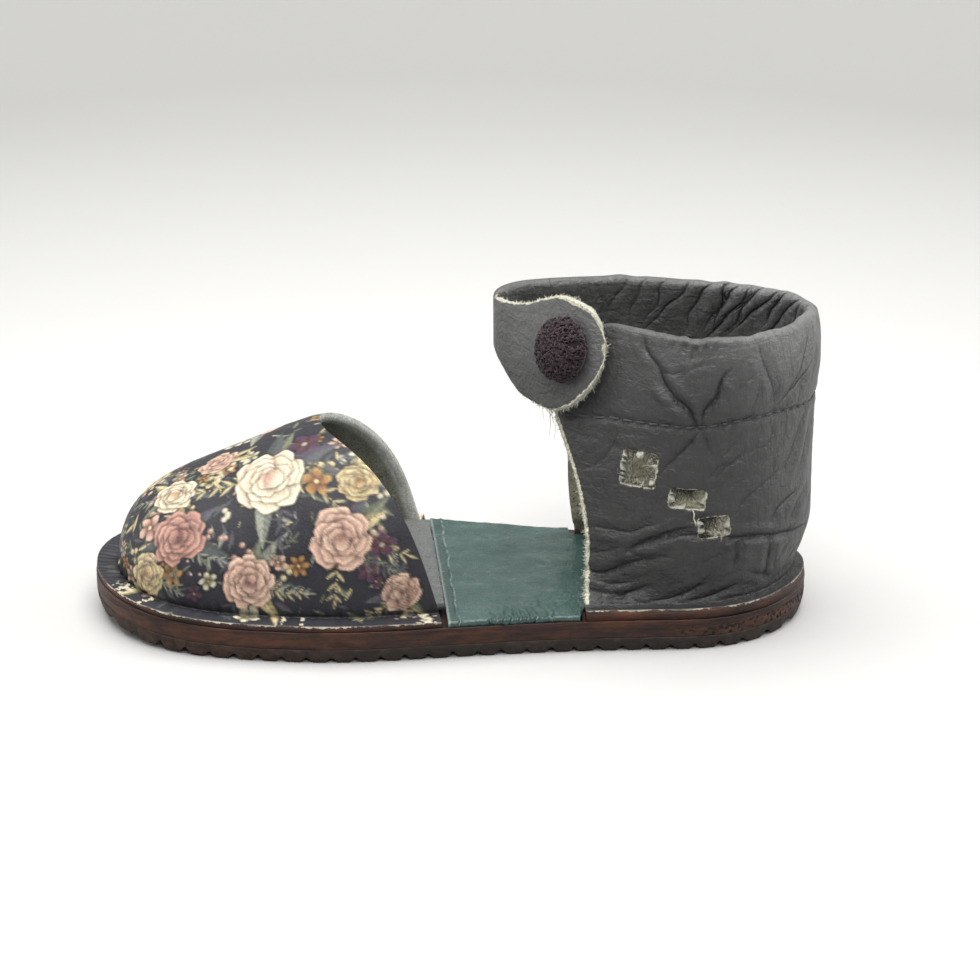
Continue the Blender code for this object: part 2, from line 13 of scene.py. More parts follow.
import bpy
import numpy as np
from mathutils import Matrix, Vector, noise


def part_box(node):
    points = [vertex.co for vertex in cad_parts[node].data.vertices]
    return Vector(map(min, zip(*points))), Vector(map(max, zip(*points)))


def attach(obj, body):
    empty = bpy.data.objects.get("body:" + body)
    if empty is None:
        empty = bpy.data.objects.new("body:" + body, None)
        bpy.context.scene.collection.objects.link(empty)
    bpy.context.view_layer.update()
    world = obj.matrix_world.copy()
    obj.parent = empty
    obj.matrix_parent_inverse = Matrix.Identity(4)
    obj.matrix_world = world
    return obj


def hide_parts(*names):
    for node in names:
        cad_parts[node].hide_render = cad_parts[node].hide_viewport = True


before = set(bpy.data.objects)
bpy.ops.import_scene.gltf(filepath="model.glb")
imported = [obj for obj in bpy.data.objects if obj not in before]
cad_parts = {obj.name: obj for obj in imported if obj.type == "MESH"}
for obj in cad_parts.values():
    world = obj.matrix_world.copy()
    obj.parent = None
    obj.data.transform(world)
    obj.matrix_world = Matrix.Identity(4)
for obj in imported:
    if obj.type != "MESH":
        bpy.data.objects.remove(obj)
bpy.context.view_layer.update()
MM = 0.001

# %% [markdown]
# ## Camera, floor and light
#
# The sandal was pictured from its outer side with a long lens, a little from above. The camera
# is described as a photographer would: where it looks, from how far, how high and how much it is
# turned. The lens comes from the focal length in pixels of a square picture.

# %% Camera
PICTURE = 980
FOCAL_PIXELS = 3380
SENSOR = 36
NEAREST = 0.01
LOOK_AT = Vector((6.6, -15.1, 28.75)) * MM
LOOK_FROM = 623 * MM
LOOK_TURN = math.radians(-2)
LOOK_RISE = math.radians(22)

aside = math.cos(LOOK_RISE)
back = Vector((math.sin(LOOK_TURN) * aside, -math.cos(LOOK_TURN) * aside, math.sin(LOOK_RISE)))
facing = (-back).to_track_quat("-Z", "Y").to_euler()
bpy.ops.object.camera_add(location=LOOK_AT + back * LOOK_FROM, rotation=facing)
camera = bpy.context.object
camera.data.sensor_width = SENSOR
camera.data.lens = SENSOR * FOCAL_PIXELS / PICTURE
camera.data.clip_start = NEAREST
bpy.context.scene.camera = camera
print("lens in mm:", round(camera.data.lens, 1))

# %% [markdown]
# The floor is a sheet of white board that bends up behind the sandal. It could be two planes,
# but the joint would show as a line. Here one plane has its far edge extruded upwards, and the
# corner is bevelled into a wide round cove.

# %% Floor with a cove
FLOOR_FRONT = -1.6
FLOOR_BACK = 0.62
FLOOR_SIDE = 1.8
COVE_HIGH = 1.6
COVE_ROUND = 0.3
COVE_STEPS = 24
CLOSE = 0.01


def pick_only(first, *others):
    """Select these pieces and no other, so that the next operator acts on them."""
    bpy.ops.object.select_all(action="DESELECT")
    for piece in (first, *others):
        piece.select_set(True)
    bpy.context.view_layer.objects.active = first


def pick_in_edit_mode(piece, kind, wanted):
    """Select the vertices, edges or faces of a piece that the test wants, then go to edit mode."""
    pick_only(piece)
    bpy.ops.object.mode_set(mode="EDIT")
    bpy.ops.mesh.select_mode(type=kind)
    bpy.ops.mesh.select_all(action="DESELECT")
    bpy.ops.object.mode_set(mode="OBJECT")
    parts = {"VERT": piece.data.vertices, "EDGE": piece.data.edges, "FACE": piece.data.polygons}[kind]
    parts.foreach_set("select", np.asarray(wanted(parts), bool))
    bpy.ops.object.mode_set(mode="EDIT")


def far_edge(edges):
    """The floor's edge behind the sandal, where it meets the wall."""
    ends = [[floor.data.vertices[v].co for v in edge.vertices] for edge in edges]
    return [min(a.y, b.y) > FLOOR_BACK - CLOSE and max(a.z, b.z) < CLOSE for a, b in ends]


bpy.ops.mesh.primitive_plane_add(size=1)
floor = bpy.context.object
floor.name = "floor"
for vertex in floor.data.vertices:
    vertex.co.x *= 2 * FLOOR_SIDE
    vertex.co.y = FLOOR_BACK if vertex.co.y > 0 else FLOOR_FRONT
pick_in_edit_mode(floor, "EDGE", far_edge)
bpy.ops.mesh.extrude_region_move(TRANSFORM_OT_translate={"value": (0, 0, COVE_HIGH)})
bpy.ops.object.mode_set(mode="OBJECT")
pick_in_edit_mode(floor, "EDGE", far_edge)
bpy.ops.mesh.bevel(offset=COVE_ROUND, segments=COVE_STEPS)
bpy.ops.object.mode_set(mode="OBJECT")
bpy.ops.object.shade_smooth()
print("floor faces:", len(floor.data.polygons))

# %% [markdown]
# The light is that of a white table under a large soft lamp. A wide area light hangs above, two
# smaller ones stand at the sides, one in front lights the collar's inside, and a weak even world
# fills the shadows. The side that faces the camera stays a little darker. The standard view
# transform keeps a colour near the number that was written for it.

# %% Light
LAMPS = (
    ("x", "y", "z", "size", "watts"),
    (-0.05, 0.0, 1.1, 1.2, 26.0),
    (-1.0, 0.1, 0.5, 0.7, 5.0),
    (1.0, 0.1, 0.5, 0.7, 8.0),
    (0.1, -0.85, 1.0, 0.8, 9.0),
)
LAMP_TONE = (1.0, 0.99, 0.97)
FILL = 0.17
FILL_TONE = (0.97, 0.98, 1.0, 1)

bpy.context.scene.view_settings.view_transform = "Standard"
for x, y, z, size, watts in LAMPS[1:]:
    aim = Vector((-x, -y, -z)).to_track_quat("-Z", "Y").to_euler()
    bpy.ops.object.light_add(type="AREA", location=(x, y, z), rotation=aim)
    lamp = bpy.context.object
    lamp.data.shape = "SQUARE"
    lamp.data.size = size
    lamp.data.energy = watts
    lamp.data.color = LAMP_TONE
world = bpy.data.worlds.new("studio")
bpy.context.scene.world = world
world.use_nodes = True
sky = world.node_tree.nodes["Background"]
sky.inputs["Color"].default_value = FILL_TONE
sky.inputs["Strength"].default_value = FILL
print("lamps:", len(LAMPS) - 1, "fill:", FILL)

# %% [markdown]
# ## Materials by nodes
#
# Every finish is built from a Principled shader with noise and Voronoi nodes on Object
# coordinates. The helpers below add a node, set its sockets and link it. A socket that is the
# same all over the surface is simply set on the shader.

# %% Node helpers


class Finish:
    """A material under construction, with short calls for the nodes that it needs."""

    def __init__(self, name, roughness, shine=0.5, **constants):
        self.made = bpy.data.materials.new(name)
        self.made.use_nodes = True
        self.tree = self.made.node_tree
        self.shader = self.tree.nodes["Principled BSDF"]
        self.place = self.add("ShaderNodeTexCoord").outputs["Object"]
        constants.update(Roughness=roughness, Specular_IOR_Level=shine)
        for socket, value in constants.items():
            self.shader.inputs[socket.replace("_", " ")].default_value = value

    def add(self, kind, **sockets):
        """A new node, with a value or a link for each named socket."""
        node = self.tree.nodes.new(kind)
        for socket, value in sockets.items():
            self.feed(node.inputs[socket.replace("_", " ")], value)
        return node

    def feed(self, socket, value):
        """Link another node's output to a socket, or set the socket."""
        if isinstance(value, bpy.types.NodeSocket):
            self.tree.links.new(value, socket)
        else:
            socket.default_value = value

    def stretched(self, scale):
        """Object coordinates with another scale along each axis."""
        return self.add("ShaderNodeMapping", Vector=self.place, Scale=scale).outputs["Vector"]

    def grain(self, size_mm, detail=4.0, rough=0.6, place=None, twist=0.0):
        """Noise with features of about this size."""
        sockets = {"Vector": place or self.place, "Scale": 1 / (size_mm * MM), "Distortion": twist}
        return self.add("ShaderNodeTexNoise", Detail=detail, Roughness=rough, **sockets).outputs["Fac"]

    def cells(self, size_mm, place=None):
        """Voronoi cells of about this size, as the distance from the middle of each."""
        sockets = {"Vector": place or self.place, "Scale": 1 / (size_mm * MM)}
        return self.add("ShaderNodeTexVoronoi", **sockets).outputs["Distance"]

    def math(self, operation, a, b=0.0):
        """One value worked out from one or two others."""
        node = self.add("ShaderNodeMath")
        node.operation = operation
        self.feed(node.inputs[0], a)
        self.feed(node.inputs[1], b)
        return node.outputs[0]

    def times(self, first, *others):
        """The product of some values."""
        for other in others:
            first = self.math("MULTIPLY", first, other)
        return first

    def spread(self, value, low, high, to_low=0.0, to_high=1.0):
        """Map a range of values to another, clamped."""
        sockets = {"From Min": low, "From Max": high, "To Min": to_low, "To Max": to_high}
        return self.add("ShaderNodeMapRange", Value=value, **sockets).outputs["Result"]

    def mix(self, share, a, b, blend="MIX"):
        """Mix two colours."""
        node = self.add("ShaderNodeMix")
        node.data_type = "RGBA"
        node.blend_type = blend
        self.feed(node.inputs[0], share)
        for socket, colour in ((6, a), (7, b)):
            whole = colour if isinstance(colour, bpy.types.NodeSocket) else (*colour, 1)
            self.feed(node.inputs[socket], whole)
        return node.outputs[2]

    def read(self, attribute, output="Fac"):
        """An attribute that was written on the mesh."""
        node = self.add("ShaderNodeAttribute")
        node.attribute_name = attribute
        return node.outputs[output]

    def bumps(self, *layers):
        """Bump nodes in a row: (height, depth in mm) for each layer."""
        normal = None
        for height, depth_mm in layers:
            node = self.add("ShaderNodeBump", Height=height, Distance=depth_mm * MM)
            if normal is not None:
                self.feed(node.inputs["Normal"], normal)
            normal = node.outputs["Normal"]
        self.feed(self.shader.inputs["Normal"], normal)

    def paint(self, colour, roughness=None):
        """Give the shader its colour, and the material to whoever asks."""
        self.feed(self.shader.inputs["Base Color"], colour)
        if roughness is not None:
            self.feed(self.shader.inputs["Roughness"], roughness)
        return self.made


def dress(piece, *finishes):
    """Give a piece its materials, in the order of its slots."""
    for finish in finishes:
        piece.data.materials.append(finish)
    print(piece.name, "wears", [finish.name for finish in finishes])


print("calls for a finish:", [name for name in vars(Finish) if not name.startswith("_")])

# %% [markdown]
# The board is white and matt. The lamps light its middle, where the sandal stands, and further out
# it gets darker, so a second tone takes over with the distance from the middle.

# %% White board
BOARD_LIT = 0.15
BOARD_DIM = 0.37

board = Finish("white_board", 0.7, 0.2)
board_tone = board.mix(board.grain(3, 3), (0.42, 0.42, 0.419), (0.432, 0.432, 0.431))
from_middle = board.add("ShaderNodeVectorMath", Vector=board.place)
from_middle.operation = "LENGTH"
dim = board.spread(from_middle.outputs["Value"], BOARD_LIT, BOARD_DIM)
board_tone = board.mix(dim, board_tone, (0.268, 0.268, 0.263))
board.bumps((board.grain(1.2, 3), 0.02))
dress(floor, board.paint(board_tone))

# %% [markdown]
# ## The last in numbers
#
# The sole's outline and the sections of the upper are the same short tables that the solids are
# built from, in millimetres. Two kinds of curve run through them: one that never overshoots
# between its rows, and a natural cubic spline. The sheets below then keep the solids' form.

# %% Curves through tables


def columns(table):
    """Columns of a table by the names in its first row."""
    return {name: [row[i] for row in table[1:]] for i, name in enumerate(table[0])}


def steady(knots, values, at):
    """Curve through a table that keeps rising or falling between its rows."""
    k = np.asarray(knots, float)
    v = np.asarray(values, float)
    step = np.diff(k)
    rise = np.diff(v) / step
    slope = np.zeros_like(v)
    slope[0] = rise[0]
    slope[-1] = rise[-1]
    same = rise[1:] * rise[:-1] > 0
    mean = 2 * rise[1:] * rise[:-1] / np.where(same, rise[1:] + rise[:-1], 1.0)
    slope[1:-1] = np.where(same, mean, 0.0)
    x = np.clip(np.asarray(at, float), k[0], k[-1])
    i = np.clip(np.searchsorted(k, x, side="right") - 1, 0, len(k) - 2)
    t = (x - k[i]) / step[i]
    blend = v[i] * (1 + 2 * t) * (1 - t) ** 2 + v[i + 1] * t * t * (3 - 2 * t)
    return blend + step[i] * (slope[i] * t * (1 - t) ** 2 - slope[i + 1] * t * t * (1 - t))


def cubic(knots, values, at, closed=False):
    """Cubic spline through rows of values. A closed one ends on its first row."""
    k = np.asarray(knots, float)
    v = np.asarray(values, float)
    h = np.diff(k)
    n = len(k)
    matrix = np.zeros((n, n))
    right = np.zeros_like(v)
    for i in range(1, n - 1):
        matrix[i, i - 1 : i + 2] = h[i - 1], 2 * (h[i - 1] + h[i]), h[i]
        right[i] = 6 * ((v[i + 1] - v[i]) / h[i] - (v[i] - v[i - 1]) / h[i - 1])
    matrix[0, 0] = 1
    matrix[-1, -1] = 1
    if closed:
        matrix[0, -1] = -1
        matrix[-1, :2] += 2 * h[0], h[0]
        matrix[-1, -2:] = h[-1], 2 * h[-1]
        right[-1] = 6 * ((v[1] - v[0]) / h[0] - (v[-1] - v[-2]) / h[-1])
    bend = np.linalg.solve(matrix, right)
    x = np.asarray(at, float)
    i = np.clip(np.searchsorted(k, x, side="right") - 1, 0, n - 2)
    a = ((k[i + 1] - x) / h[i])[:, None]
    b = 1 - a
    pull = ((a**3 - a) * bend[i] + (b**3 - b) * bend[i + 1]) * h[i][:, None] ** 2 / 6
    return a * v[i] + b * v[i + 1] + pull


print("half way through a steady curve:", float(steady((0, 1, 2), (0, 1, 4), 1.5)))

# %% Steps, humps and ways


def soft_step(low, high, at):
    """0 below low, 1 above high, and a smooth rise between."""
    t = np.clip((at - low) / (high - low), 0, 1)
    return t * t * (3 - 2 * t)


def hump(far, wide):
    """1 where far is 0, falling smoothly to nothing over about this width."""
    return np.exp(-((far / wide) ** 2))


def unit(vectors):
    """Vectors of length one."""
    return vectors / np.maximum(np.linalg.norm(vectors, axis=-1, keepdims=True), 1e-9)


def distance_along(points, axis=0):
    """Way from the first point to each, along a line of points or along one axis of a grid."""
    step = np.linalg.norm(np.diff(points, axis=axis), axis=-1)
    start = np.zeros_like(np.take(step, [0], axis))
    return np.concatenate([start, np.cumsum(step, axis=axis)], axis=axis)


print("way round two sides of a square:", distance_along(np.array(((0, 0), (1, 0), (1, 1)))))

# %% Outline of the sole
OUTLINE = {
    "heel_back": (66.8, -0.5),
    "heel_corner_lateral": (61.0, -13.8),
    "heel_lateral": (50.0, -20.5),
    "heel_front_lateral": (36.0, -21.7),
    "waist_lateral": (17.5, -22.2),
    "ball_back_lateral": (-5.0, -24.2),
    "ball_lateral": (-22.0, -25.4),
    "little_toe": (-40.0, -23.3),
    "toe_lateral": (-55.6, -18.0),
    "toe_corner": (-64.2, -9.2),
    "toe_tip": (-67.6, 2.5),
    "toe_medial": (-64.4, 16.2),
    "big_toe": (-54.0, 26.3),
    "ball_medial": (-28.0, 31.6),
    "ball_back_medial": (-8.0, 29.4),
    "waist_medial": (10.0, 25.4),
    "heel_front_medial": (27.0, 22.0),
    "heel_medial": (48.0, 18.0),
    "heel_corner_medial": (60.8, 11.8),
}
EDGE_POINTS = 1440


def sole_edge():
    """Dense sole edge and its outward directions, clockwise from the heel."""
    corners = np.array(list(OUTLINE.values()) + [OUTLINE["heel_back"]])
    knots = distance_along(corners)
    fine = cubic(knots, corners, np.linspace(0, knots[-1], EDGE_POINTS + 1)[:-1], closed=True)
    along = unit(np.roll(fine, -1, axis=0) - np.roll(fine, 1, axis=0))
    return fine, np.stack([-along[:, 1], along[:, 0]], axis=1)


EDGE, OUTWARD = sole_edge()
print("sole length in mm:", np.ptp(EDGE[:, 0]).round(1))

# %% [markdown]
# The upper stands a few millimetres inside the sole's edge, on a ring, and an index round the ring
# tells where. The sole itself rises a little from the floor at the toe and at the heel.

# %% Rings inside the outline
TOE_SPRING = 2.2
TOE_SPRING_FROM = -38.0
HEEL_RISE = 0.9
HEEL_RISE_FROM = 53.0


def ring(inset):
    """The sole edge moved inwards."""
    return EDGE - inset * OUTWARD


def place(line, index):
    """Points on a closed line at fractional indices."""
    low = np.floor(index).astype(int)
    part = (index - low)[..., None]
    return line[low % EDGE_POINTS] * (1 - part) + line[(low + 1) % EDGE_POINTS] * part


def index_at(x, inset, side):
    """Fractional index on a ring where it has this x, on the lateral (-1) or medial (1) side."""
    line = ring(inset)
    toe = int(np.argmin(line[:, 0]))
    heel = int(np.argmax(line[:, 0]))
    if heel > EDGE_POINTS // 2:
        heel -= EDGE_POINTS
    order = np.arange(toe, heel - 1, -1) if side < 0 else np.arange(toe, heel + EDGE_POINTS + 1)
    return np.interp(x, np.maximum.accumulate(line[order % EDGE_POINTS, 0]), order)


def side_y(x, inset, side):
    """Where a ring is across the foot, at this x and on this side."""
    return place(ring(inset), index_at(x, inset, side))[..., 1]


def ground(x):
    """Height of the sole's underside over the floor."""
    toe = np.clip((TOE_SPRING_FROM - x) / (TOE_SPRING_FROM - EDGE[:, 0].min()), 0, None)
    heel = np.clip((x - HEEL_RISE_FROM) / (EDGE[:, 0].max() - HEEL_RISE_FROM), 0, None)
    return TOE_SPRING * toe**2 + HEEL_RISE * heel**2


sole_low, sole_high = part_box("midsole")
CENTRE = (EDGE.min(axis=0) + EDGE.max(axis=0)) / 2
SHIFT = np.array([(sole_low[i] + sole_high[i]) / 2 / MM - CENTRE[i] for i in (0, 1)] + [0.0])
print("tables to frame in mm:", SHIFT.round(2))

# %% [markdown]
# ## From a flat sheet to a shaped one
#
# A sheet of leather starts flat, so each sheet here starts as a grid primitive. Its vertices are
# then sent to their places on the last. Sculpting by hand could do this too, but the sections
# above put every point exactly on the solid's surface. The grid's rows and columns stay known,
# which makes it easy to find an edge or a fold again.

# %% Sheet helpers
WELD_MM = 0.0005


def points_of(piece):
    """Places of the vertices of a piece."""
    found = np.empty(len(piece.data.vertices) * 3, np.float32)
    piece.data.vertices.foreach_get("co", found)
    return found.reshape(-1, 3).astype(float)


def move_points(piece, points_mm):
    """Put the vertices of a piece at places given in the tables' millimetres."""
    there = ((np.asarray(points_mm) + SHIFT) * MM).astype(np.float32)
    piece.data.vertices.foreach_set("co", there.ravel())
    piece.data.update()


def sheet_through(name, points_mm):
    """A grid primitive sent to a grid of points, with the row and column of each vertex."""
    rows = len(points_mm) - 1
    cols = len(points_mm[0]) - 1
    bpy.ops.mesh.primitive_grid_add(x_subdivisions=cols, y_subdivisions=rows, size=1)
    sheet = bpy.context.object
    sheet.name = name
    sheet.data.name = name
    flat = points_of(sheet)
    col = np.rint((flat[:, 0] + 0.5) * cols).astype(int)
    row = np.rint((flat[:, 1] + 0.5) * rows).astype(int)
    move_points(sheet, points_mm[row, col])
    return sheet, row, col


def outward_of(grid):
    """Directions square to a grid of points, by the right hand: across its columns, then its rows."""
    return unit(np.cross(np.gradient(grid, axis=1), np.gradient(grid, axis=0)))


def thicken(piece, thick_mm, group=None, rim=2, inner=1):
    """Give a sheet its thickness inwards. The back and the cut edges take the next materials."""
    wall = piece.modifiers.new("thickness", "SOLIDIFY")
    wall.thickness = thick_mm * MM
    wall.offset = -1
    wall.material_offset = inner
    wall.material_offset_rim = rim
    if group is not None:
        wall.vertex_group = group
    pick_only(piece)
    bpy.ops.object.modifier_apply(modifier=wall.name)


def every(parts):
    """All vertices, edges or faces."""
    return np.ones(len(parts))


def merge_close(piece):
    """Weld the vertices of a seam or a pole, and turn the faces outwards."""
    pick_in_edit_mode(piece, "VERT", every)
    bpy.ops.mesh.remove_doubles(threshold=WELD_MM * MM)
    bpy.ops.mesh.normals_make_consistent(inside=False)
    bpy.ops.object.mode_set(mode="OBJECT")


def smooth_faces(piece):
    """Shade a piece smooth."""
    pick_only(piece)
    bpy.ops.object.shade_smooth()
    print(piece.name, "faces:", len(piece.data.polygons))


def lumps(points_mm, size_mm, seed):
    """Smooth noise between -1 and 1 at each point, with lumps of about this size."""
    points = np.asarray(points_mm)
    away = Vector((seed * 7.3, seed * 3.1, seed * 5.7))
    found = [noise.noise(Vector(p) / size_mm + away) for p in points.reshape(-1, 3)]
    return np.reshape(found, points.shape[:-1])


def write_attribute(piece, name, values):
    """Store one number for each vertex, for a material to read."""
    layer = piece.data.attributes.new(name, "FLOAT", "POINT")
    layer.data.foreach_set("value", np.asarray(values, np.float32))


print("lump in the middle of the sole:", round(float(lumps((0, 0, 0), 5.0, 1)), 2))

# %% [markdown]
# ## Sole: rubber outsole and leather midsole
#
# Each sole layer is a slab with the outline of the foot. It could be a filled curve that is
# extruded, but then the tread's notches and the curl of the toe would need cutting and bending.
# Here a grid is rolled into a tube: its columns run from toe to heel and its rows run round the
# cross-section, so a notch is only a place where the bottom rows are lifted.

# %% A tube of cross-sections
OUTSOLE_TOP = 2.85
MIDSOLE_TOP = 6.0
CROSS_STEPS = 10


def sole_tube(profile, sections, lift=None):
    """Points of a closed slab from (inset, height) steps of its side, and which rows are its side."""
    t = 0.5 - 0.5 * np.cos(np.pi * np.arange(sections + 1) / sections)
    lateral = []
    medial = []
    for inset, height in profile:
        line = ring(inset)
        x = line[:, 0].min() + t * np.ptp(line[:, 0])
        z = height + ground(x)
        if lift is not None:
            z = z + lift(x) * ((profile[-1][1] - height) / (profile[-1][1] - profile[0][1])) ** 2
        lateral.append(np.stack([x, side_y(x, inset, -1), z], axis=1))
        medial.append(np.stack([x, side_y(x, inset, 1), z], axis=1))
        for end in (0, -1):
            medial[-1][end] = lateral[-1][end]
    share = np.linspace(0, 1, CROSS_STEPS + 1)[1:-1, None, None]
    top = list(lateral[-1] * (1 - share) + medial[-1] * share)
    under = list(medial[0] * (1 - share) + lateral[0] * share)
    half = len(under) // 2
    grid = np.array(under[half:] + lateral + top + medial[::-1] + under[: half + 1])
    first = len(under) - half
    on_side = np.zeros((len(grid), 1))
    on_side[first : first + len(profile)] = 1
    on_side[first + len(profile) + len(top) :][: len(profile)] = 1
    return grid, on_side


print("tops of the sole's layers in mm:", OUTSOLE_TOP, MIDSOLE_TOP)

# %% [markdown]
# The tread is a row of straight notches, worn and no two quite alike. A fixed seed makes the same
# chances each time that the script runs.

# %% Outsole
OUTSOLE_SIDE = (
    (0.9, 0.0),
    (0.68, 0.1),
    (0.55, 0.45),
    (0.42, 0.9),
    (0.25, 1.5),
    (0.1, 2.1),
    (0.02, 2.6),
    (0.03, OUTSOLE_TOP),
)
OUTSOLE_SECTIONS = 620
OUTSOLE_ROUGH = 0.07
NOTCH_PITCH = 4.5
NOTCH_WIDE = 2.0
NOTCH_DEEP = 1.2
NOTCH_FIRST = -63.5
NOTCH_COUNT = 29


def notches(x):
    """Lift of the tread's underside: worn notches, each a little different."""
    chance = np.random.default_rng(11)
    found = np.zeros_like(x)
    for number in range(NOTCH_COUNT):
        centre = NOTCH_FIRST + NOTCH_PITCH * number + chance.uniform(-0.2, 0.2)
        wide = NOTCH_WIDE * chance.uniform(0.8, 1.15)
        deep = NOTCH_DEEP * chance.uniform(0.75, 1.05)
        found = np.maximum(found, deep * np.clip(1.15 - np.abs(x - centre) / (wide / 2), 0, 1))
    return found


grid, on_side = sole_tube(OUTSOLE_SIDE, OUTSOLE_SECTIONS, notches)
rough = OUTSOLE_ROUGH * on_side * lumps(grid, 1.6, 1)
outsole, row, col = sheet_through("outsole_rubber", grid + rough[:, :, None] * outward_of(grid))
merge_close(outsole)
smooth_faces(outsole)

# %% [markdown]
# The rubber is dark brown and dull. Its side was ground on a wheel, which left level streaks, some
# dust from the floor sits on it, and round the toe the brown dye of the edge has run onto it.

# %% Rubber
rubber = Finish("tread_rubber", 0.75, 0.3)
ground_streak = rubber.grain(1.2, 4, 0.6, place=rubber.stretched((0.3, 0.3, 2.5)))
rubber_tone = rubber.mix(ground_streak, (0.011, 0.008, 0.007), (0.033, 0.024, 0.019))
dust = rubber.spread(rubber.grain(2.4, 5, 0.7), 0.48, 0.78, 0, 0.5)
rubber_tone = rubber.mix(dust, rubber_tone, (0.08, 0.063, 0.054))
rubber_along = rubber.add("ShaderNodeSeparateXYZ", Vector=rubber.place).outputs["X"]
dye_blot = rubber.spread(rubber.grain(1.6, 5, 0.7), 0.36, 0.64)
dye_run = rubber.mix(dye_blot, (0.014, 0.007, 0.005), (0.066, 0.034, 0.023))
rubber_tone = rubber.mix(rubber.spread(rubber_along, -0.015, -0.04, 0, 0.8), rubber_tone, dye_run)
rubber.bumps((ground_streak, 0.12), (rubber.grain(0.35, 4, 0.7), 0.08))
dress(outsole, rubber.paint(rubber_tone))

# %% [markdown]
# The midsole's edge is cut leather that was burnished brown and then knocked about. Long shallow
# waves and shorter dents along the edge make it look cut by hand. A line of glue and dye closes the
# seam above it. Towards the heel the lower half of the edge has crumbled into small pits.

# %% Midsole
CRUMBLE_FROM = 30.0
CRUMBLE_FULL = 52.0
CRUMBLE_LOW = 3.1
CRUMBLE_HIGH = 4.6
CRUMBLE_INNER = 4.0
PIT_DEEP = 0.75
GLUE_LINE = MIDSOLE_TOP + 0.2
MIDSOLE_SECTIONS = 720

heights = np.linspace(OUTSOLE_TOP, MIDSOLE_TOP - 0.35, 13)
midsole_profile = [(0.06, heights[0])]
midsole_profile += [(0.03 if abs(h - 4.3) > 1 else 0.0, h) for h in heights[1:]]
midsole_profile += [(0.02, MIDSOLE_TOP), (0.06, GLUE_LINE), (0.25, GLUE_LINE), (0.4, MIDSOLE_TOP)]
grid, on_side = sole_tube(midsole_profile, MIDSOLE_SECTIONS)
waves = 0.1 * lumps(grid * (0.25, 0.25, 1.0), 1.5, 2) + 0.05 * lumps(grid * (0.4, 0.4, 1.6), 0.8, 3)
over_ground = grid[:, :, 2] - ground(grid[:, :, 0])
pits = on_side * np.clip(lumps(grid, 0.62, 4) - 0.05, 0, 1) * (grid[:, :, 1] < CRUMBLE_INNER)
pits *= soft_step(CRUMBLE_FROM, CRUMBLE_FULL, grid[:, :, 0])
pits *= soft_step(CRUMBLE_LOW - 0.4, CRUMBLE_LOW, over_ground)
pits *= 1 - soft_step(CRUMBLE_HIGH, CRUMBLE_HIGH + 0.5, over_ground)
rise = on_side * waves - PIT_DEEP * pits
midsole, row, col = sheet_through("midsole_leather", grid + rise[:, :, None] * outward_of(grid))
write_attribute(midsole, "pit", pits[row, col])
merge_close(midsole)
smooth_faces(midsole)

# %% [markdown]
# The burnished edge is reddish brown with long level streaks, lighter and more orange where it was
# rubbed. The pits are nearly black, with lighter crumbs.

# %% Burnished edge


def burnished_edge(name, raw_line):
    """Burnished leather edge. A flange also has a broken pale line along its top, where it is raw."""
    made = Finish(name, 0.5, 0.3)
    streak = made.grain(1.3, 5, 0.65, place=made.stretched((0.16, 0.16, 2.2)))
    brown = made.mix(made.spread(streak, 0.3, 0.7), (0.01, 0.004, 0.003), (0.042, 0.017, 0.0105))
    orange = made.grain(4.5, 5, 0.65, place=made.stretched((0.5, 0.5, 1.6)))
    brown = made.mix(made.spread(orange, 0.46, 0.74, 0, 0.75), brown, (0.1, 0.034, 0.014))
    burnt = made.grain(2.4, 5, 0.7, place=made.stretched((0.14, 0.14, 1.5)))
    brown = made.mix(made.spread(burnt, 0.54, 0.64, 0, 0.75), brown, (0.006, 0.0022, 0.0016))
    crumbs = made.spread(made.grain(0.45, 3, 0.7), 0.4, 0.7)
    pit_tone = made.mix(crumbs, (0.004, 0.0025, 0.002), (0.05, 0.028, 0.021))
    brown = made.mix(made.spread(made.read("pit"), 0.02, 0.2), brown, pit_tone)
    if raw_line:
        torn = made.spread(made.grain(1.6, 4, 0.7), 0.42, 0.66, 0.02, 0.5)
        raw = made.math("LESS_THAN", made.read("below_rim"), torn)
        patch = made.spread(made.grain(5, 3), 0.4, 0.62)
        brown = made.mix(raw, brown, made.mix(patch, (0.1, 0.09, 0.075), (0.36, 0.33, 0.26)))
    made.bumps((streak, 0.22), (made.grain(0.9, 5, 0.7), 0.14), (made.grain(0.3, 4, 0.7), 0.07))
    return made.paint(brown, made.spread(streak, 0.3, 0.7, 0.62, 0.4))


dress(midsole, burnished_edge("burnished_edge", False))
flange_edge = burnished_edge("flange_edge", True)

# %% [markdown]
# ## Insole: felt in front, teal leather behind
#
# The felt lies inside the toe piece, and the teal leather runs out to the sole's edge at the
# open waist and goes on under the heel wrap. Both are sheets of an even thickness, so a grid gets
# its outline from the sole and a Solidify modifier gives it its thickness.

# %% Insole sheets
BED = 6.3
INSOLE_THICK = 1.1
SEAM_X = -2.7
SEAM_SLANT = -0.05
SEAM_FADE = 14.0
VAMP_INSET = 4.1
VAMP_WALL = 1.5
GAP = 0.3
FELT_ROWS = 96
FELT_COLS = 130
FELT_ROUGH = 0.14
TUCKED = 0.2


def bed_sheet(x, inset, rows):
    """Top of an insole: columns at each x, rows from the lateral to the medial edge."""
    lateral = np.array([side_y(at, pair[0], -1) for at, pair in zip(x, inset)])
    medial = np.array([side_y(at, pair[1], 1) for at, pair in zip(x, inset)])
    share = np.linspace(0, 1, rows + 1)[:, None]
    y = lateral + (medial - lateral) * share
    slant = SEAM_SLANT * np.clip(1 - np.abs(x - SEAM_X) / SEAM_FADE, 0, 1)
    xs = x + slant * y
    return np.stack([xs, y, BED + INSOLE_THICK + ground(xs)], axis=2)


